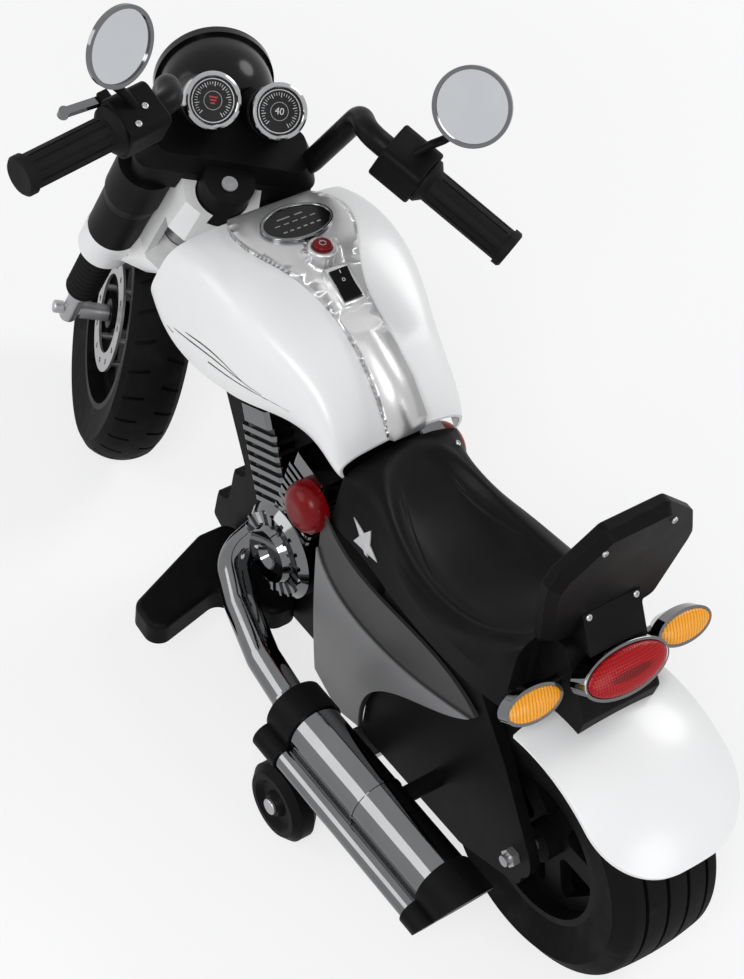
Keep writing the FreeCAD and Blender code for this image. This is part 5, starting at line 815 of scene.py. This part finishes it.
def number_mark(text, size, depth):
    """A dial's number as a thin mesh."""
    clear()
    bpy.ops.object.text_add()
    words = bpy.context.object
    words.data.body = text
    words.data.size = size
    words.data.extrude = depth / 2
    words.data.align_x = "CENTER"
    words.data.align_y = "CENTER"
    bpy.ops.object.convert(target="MESH")
    return bpy.context.object


class MOTORBIKE_OT_dials(bpy.types.Operator):
    """Rings, ticks, charge bars and a number on the two dials"""
    bl_idname = "motorbike.dials"
    bl_label = "Dials"

    def execute(self, context):
        for side, label in ((1, "left"), (-1, "right")):
            face = dial_place(side)
            for name, inner, outer, colour in DIAL_RINGS:
                ring = flat_ring(inner, outer, PRINT_HEIGHT)
                settle(ring, name + label, "steering", TRIM[colour], face)
            settle(tick_marks(), "dial_ticks_" + label, "steering", TRIM["white"], face)
        length, width = CHARGE_BAR
        bars = []
        for i in range(CHARGE_BARS):
            spot = (CHARGE_BAR_TOP - CHARGE_BAR_PITCH * i, 0)
            bars.append(flat_bar(length, width - CHARGE_BAR_STEP * i, PRINT_HEIGHT, spot))
        settle(joined(bars), "dial_bars_left", "steering", TRIM["red"], dial_place(1))
        upright = Matrix.Translation((0, 0, THIN_PRINT)) @ Matrix.Rotation(-math.pi / 2, 4, "Z")
        number = number_mark("40", NUMBER_SIZE, NUMBER_DEPTH)
        settle(number, "dial_number_right", "steering", TRIM["white"], dial_place(-1) @ upright)
        return {"FINISHED"}


# Seat, tank and panel trim

def star_form(reach, waist, stretch, height):
    """Five-pointed star, raised to a ridge along each arm."""
    clear()
    bpy.ops.mesh.primitive_circle_add(vertices=10, radius=reach, fill_type="NGON")
    star = bpy.context.object
    for i, vertex in enumerate(star.data.vertices):
        if i % 2:
            vertex.co *= waist
    star.data.transform(Matrix.Rotation(math.radians(-54.0), 4, "Z"))
    star.data.transform(Matrix.Diagonal((stretch, 1.0, 1.0, 1.0)))
    bpy.ops.object.mode_set(mode="EDIT")
    bpy.ops.mesh.select_all(action="SELECT")
    bpy.ops.mesh.extrude_region_move(TRANSFORM_OT_translate={"value": (0, 0, height * 0.4)})
    bpy.ops.mesh.poke(offset=height * 0.6)
    bpy.ops.mesh.select_all(action="SELECT")
    bpy.ops.mesh.subdivide(number_cuts=2)
    bpy.ops.mesh.select_all(action="SELECT")
    bpy.ops.mesh.normals_make_consistent(inside=False)
    bpy.ops.object.mode_set(mode="OBJECT")
    return star


def flank_place(spot, tilt=0.0):
    """Plane on the left flank: X rearwards, Y up, Z outwards."""
    turn = Matrix(((-1, 0, 0, 0), (0, 0, 1, 0), (0, 1, 0, 0), (0, 0, 0, 1)))
    return Matrix.Translation(spot) @ turn @ Matrix.Rotation(tilt, 4, "Z")


# Points of the panel's mesh closer than this become one
MERGE_DISTANCE = 0.00002


class MOTORBIKE_OT_tank_strip(bpy.types.Operator):
    """Silver panel of the tank, with its strip running smoothly to the seat"""
    bl_idname = "motorbike.tank_strip"
    bl_label = "Tank strip"

    def execute(self, context):
        clear()
        NODES["tank_panel"].select_set(True)
        context.view_layer.objects.active = NODES["tank_panel"]
        bpy.ops.object.duplicate(linked=False)
        strip = context.object
        bpy.ops.object.mode_set(mode="EDIT")
        bpy.ops.mesh.select_all(action="SELECT")
        bpy.ops.mesh.remove_doubles(threshold=MERGE_DISTANCE)
        bpy.ops.object.mode_set(mode="OBJECT")
        settle(strip, "tank_strip", "chassis", FINISHES["silver_panel"], None, 38.0)
        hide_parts("tank_panel")
        return {"FINISHED"}


STAR_PLACE = (0.283, 0.0765, 0.3190)
STAR_TILT = math.radians(-27.0)
STAR_WAIST_SHARE = 0.42
STAR_STRETCH = 2.0
STAR_HEIGHT = 0.0034


class MOTORBIKE_OT_stars(bpy.types.Operator):
    """Silver star trim on both flanks of the seat"""
    bl_idname = "motorbike.stars"
    bl_label = "Stars"

    def execute(self, context):
        star = star_form(context.scene.bike_sizes.star_radius, STAR_WAIST_SHARE, STAR_STRETCH, STAR_HEIGHT)
        laid(star, "seat", flank_place(STAR_PLACE, STAR_TILT))
        settle(star, "star_left", "chassis", TRIM["star"], None, 20.0)
        copied(star, "star_right", "chassis", MIRRORED)
        return {"FINISHED"}


def stripe_form(length, lift, bow, width, height):
    """Tapered stripe along X, rising and bowed, thickest at its front third."""
    clear()
    bpy.ops.mesh.primitive_grid_add(x_subdivisions=48, y_subdivisions=2, size=1.0)
    stripe = bpy.context.object
    bpy.ops.object.mode_set(mode="EDIT")
    thickened(stripe, height)
    for vertex in stripe.data.vertices:
        along = vertex.co.x + 0.5
        taper = (1.0 - abs(2.0 * along ** 0.6 - 1.0) ** 2) * 0.92 + 0.08
        vertex.co.y = vertex.co.y * width * taper + lift * along + bow * math.sin(math.pi * along)
        vertex.co.x = length * along
    return stripe


STRIPE_HEIGHT = 0.00025

# Each stripe's front end on the left flank, its length, its rise and its bow
STRIPES = (
    ((0.592, 0.112, 0.377), 0.192, 0.020, 0.007),
    ((0.574, 0.114, 0.389), 0.140, 0.010, 0.008),
    ((0.552, 0.115, 0.401), 0.092, 0.001, 0.007),
)


class MOTORBIKE_OT_stripes(bpy.types.Operator):
    """Black pinstripes along both flanks of the tank"""
    bl_idname = "motorbike.stripes"
    bl_label = "Stripes"

    def execute(self, context):
        width = context.scene.bike_sizes.stripe_width
        stripes = []
        for spot, length, lift, bow in STRIPES:
            stripe = stripe_form(length, lift, bow, width, STRIPE_HEIGHT)
            stripes.append(laid(stripe, "tank_shell", flank_place(spot)))
        left = settle(joined(stripes), "stripes_left", "chassis", TRIM["black"])
        copied(left, "stripes_right", "chassis", MIRRORED)
        return {"FINISHED"}


MEDIA_MIDDLE = 0.5383
MEDIA_LIFT = 0.0002

# Rows of keys on the media panel: how many, each one's length and width, the row's place, its start and pitch
KEY_ROWS = (
    (6, (0.0016, 0.0042), -0.0090, 0.020, 0.0080),
    (5, (0.0010, 0.0060), 0.0020, 0.022, 0.0105),
    (1, (0.0012, 0.0150), 0.0100, 0.010, 0.0),
    (1, (0.0012, 0.0090), 0.0100, -0.008, 0.0),
)

# Marks on the power button and the rocker: a ring and a bar on each
BUTTON_LIFT = 0.001
BUTTON_RING = (0.0030, 0.0036)
BUTTON_BAR = (0.0028, 0.0007)
BUTTON_BAR_PLACE = (0.0032, 0)
ROCKER_LEAN = math.radians(-26.0)
ROCKER_RING = (0.0012, 0.0018)
ROCKER_BAR = (0.0034, 0.0008)
ROCKER_BAR_PLACE = (0.0085, 0)


def over(node, lift):
    """Level place over the middle of a solid on the bike's middle plane."""
    low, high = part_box(node)
    return Matrix.Translation(((low[0] + high[0]) / 2, 0, high[2] + lift))


class MOTORBIKE_OT_panel_marks(bpy.types.Operator):
    """Printed keys on the media panel and marks on the power button and the rocker"""
    bl_idname = "motorbike.panel_marks"
    bl_label = "Panel marks"

    def execute(self, context):
        keys = []
        for count, size, along, start, pitch in KEY_ROWS:
            keys += [flat_bar(*size, PRINT_HEIGHT, (along, start - pitch * i)) for i in range(count)]
        level = Matrix.Translation((MEDIA_MIDDLE, 0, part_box("media_panel")[1][2] + MEDIA_LIFT))
        screen = laid(joined(keys), "media_panel", level)
        settle(screen, "media_keys", "chassis", TRIM["grey"])
        bar = (*BUTTON_BAR, THIN_PRINT, BUTTON_BAR_PLACE)
        sign = joined([flat_ring(*BUTTON_RING, THIN_PRINT), flat_bar(*bar)])
        laid(sign, "power_button", over("power_button", BUTTON_LIFT))
        settle(sign, "button_mark", "button", TRIM["white"])
        bar = (*ROCKER_BAR, THIN_PRINT, ROCKER_BAR_PLACE)
        marks = joined([flat_bar(*bar), flat_ring(*ROCKER_RING, THIN_PRINT)])
        laid(marks, "rocker_switch", over("rocker_switch", 0) @ Matrix.Rotation(ROCKER_LEAN, 4, "Y"))
        settle(marks, "rocker_marks", "rocker", TRIM["white"])
        return {"FINISHED"}


# Fasteners and caps

def screw_form(radius):
    """Pan-head screw with a crossed recess."""
    clear()
    bpy.ops.mesh.primitive_cylinder_add(vertices=32, radius=radius, depth=radius * 0.8,
                                        location=(0, 0, radius * 0.2))
    head = bpy.context.object
    bpy.ops.object.transform_apply(location=True, rotation=True, scale=True)
    applied(head, "BEVEL", width=radius * 0.28, segments=3, limit_method="ANGLE")
    for turn in (0.0, math.pi / 2):
        clear()
        bpy.ops.mesh.primitive_cube_add(size=1.0, location=(0, 0, radius * 0.62), rotation=(0, 0, turn))
        slot = bpy.context.object
        slot.scale = (radius * 1.1, radius * 0.26, radius * 0.5)
        clear()
        applied(head, "BOOLEAN", object=slot, operation="DIFFERENCE", solver="EXACT")
        bpy.data.objects.remove(slot)
    return head


# Each screw's name, the solid that it is driven into, that solid's body, and a point just off its face
SCREWS = (
    ("backrest_top_left", "backrest_rear", "chassis", (0.015, 0.040, 0.530)),
    ("backrest_top_right", "backrest_rear", "chassis", (0.015, -0.040, 0.530)),
    ("backrest_low_left", "backrest_rear", "chassis", (0.023, 0.028, 0.436)),
    ("backrest_low_right", "backrest_rear", "chassis", (0.023, -0.028, 0.436)),
    ("seat_front_right", "seat", "chassis", (0.314, -0.055, 0.367)),
    ("housing_left_front", "switch_housings", "steering", (0.5965, 0.1475, 0.6600)),
    ("housing_left_rear", "switch_housings", "steering", (0.5830, 0.1625, 0.6538)),
)


class MOTORBIKE_OT_screws(bpy.types.Operator):
    """Screw heads on the backrest, the seat and the left switch housing"""
    bl_idname = "motorbike.screws"
    bl_label = "Screws"

    def execute(self, context):
        screw = screw_form(context.scene.bike_sizes.screw_radius)
        settle(screw, "screw_pattern", "chassis", FINISHES["steel"])
        for name, node, body, near in SCREWS:
            found, point, normal, face = NODES[node].closest_point_on_mesh(Vector(near))
            turn = normal.to_track_quat("Z", "Y").to_matrix().to_4x4()
            copied(screw, "screw_" + name, body, Matrix.Translation(point) @ turn)
        bpy.data.objects.remove(screw)
        return {"FINISHED"}


# Stem cap and headlight ring, placed in the fork frame
CAP_PLACE = (-0.041, 0.001, 0.3862)
CAP_RADIUS = 0.0082
CAP_HEIGHT = 0.003
CAP_RIM = 0.0016
CAP_DISH = 0.0008
CAP_PIP = 0.003
CAP_PIP_HEIGHT = 0.0006
CAP_ROUND = 0.0003
LIGHT_PLACE = (0.095, 0, 0.340)
LIGHT_RING_RADIUS = 0.0602
LIGHT_RING_WIRE = 0.0024
LIGHT_RING_DEPTH = 1.5
LIGHT_RING_FLAT = 0.0006
LIGHT_RING_AHEAD = 0.0262


class MOTORBIKE_OT_caps(bpy.types.Operator):
    """Grey cap on the stem's boss and the chrome ring of the headlight"""
    bl_idname = "motorbike.caps"
    bl_label = "Caps"

    def execute(self, context):
        clear()
        bpy.ops.mesh.primitive_cylinder_add(vertices=48, radius=CAP_RADIUS, depth=CAP_HEIGHT,
                                            location=CAP_PLACE)
        cap = context.object
        bpy.ops.object.transform_apply(location=True, rotation=True, scale=True)
        pick_faces(cap, lambda c, n: n.z > 0.9)
        bpy.ops.mesh.inset(thickness=CAP_RIM)
        bpy.ops.mesh.extrude_region_move(TRANSFORM_OT_translate={"value": (0, 0, -CAP_DISH)})
        bpy.ops.mesh.inset(thickness=CAP_PIP)
        bpy.ops.mesh.extrude_region_move(TRANSFORM_OT_translate={"value": (0, 0, CAP_PIP_HEIGHT)})
        bpy.ops.object.mode_set(mode="OBJECT")
        applied(cap, "BEVEL", width=CAP_ROUND, segments=2, limit_method="ANGLE")
        settle(cap, "stem_cap", "steering", TRIM["grey"], FORK)
        clear()
        bpy.ops.mesh.primitive_torus_add(major_radius=LIGHT_RING_RADIUS, minor_radius=LIGHT_RING_WIRE,
                                         major_segments=72, minor_segments=12)
        ring = context.object
        ring.scale = (1.0, 1.0, LIGHT_RING_DEPTH)
        bpy.ops.object.transform_apply(location=True, rotation=True, scale=True)
        pick_faces(ring, lambda c, n: n.z > 0.8)
        bpy.ops.mesh.inset(thickness=LIGHT_RING_FLAT)
        bpy.ops.object.mode_set(mode="OBJECT")
        beam = FORK @ Matrix.Translation(LIGHT_PLACE) @ Matrix.Rotation(math.pi / 2 + RAKE, 4, "Y")
        place = beam @ Matrix.Translation((0, 0, LIGHT_RING_AHEAD))
        settle(ring, "headlight_ring", "steering", FINISHES["chrome"], place)
        return {"FINISHED"}


class MOTORBIKE_PT_panel(bpy.types.Panel):
    """Lists the motorbike's dressing steps"""
    bl_idname = "MOTORBIKE_PT_panel"
    bl_label = "Motorbike"
    bl_space_type = "VIEW_3D"
    bl_region_type = "UI"
    bl_category = "Motorbike"

    def draw(self, context):
        for group in (context.scene.bike_sizes, context.scene.bike_colours):
            for name in group.__annotations__:
                self.layout.prop(group, name)
        for step in STEPS:
            self.layout.operator(step.bl_idname)


STEPS = (MOTORBIKE_OT_stage, MOTORBIKE_OT_finishes, MOTORBIKE_OT_gaiters, MOTORBIKE_OT_tank_strip,
         MOTORBIKE_OT_dials, MOTORBIKE_OT_stars, MOTORBIKE_OT_stripes, MOTORBIKE_OT_panel_marks,
         MOTORBIKE_OT_screws, MOTORBIKE_OT_caps)
CLASSES = (BikeSizes, BikeColours) + STEPS + (MOTORBIKE_PT_panel,)


def register():
    for item in CLASSES:
        bpy.utils.register_class(item)
    bpy.types.Scene.bike_sizes = bpy.props.PointerProperty(type=BikeSizes)
    bpy.types.Scene.bike_colours = bpy.props.PointerProperty(type=BikeColours)


def unregister():
    del bpy.types.Scene.bike_colours
    del bpy.types.Scene.bike_sizes
    for item in reversed(CLASSES):
        bpy.utils.unregister_class(item)


def main():
    register()
    for step in STEPS:
        group, name = step.bl_idname.split(".")
        getattr(getattr(bpy.ops, group), name)()
    bpy.context.view_layer.update()


if __name__ == "__main__":
    main()
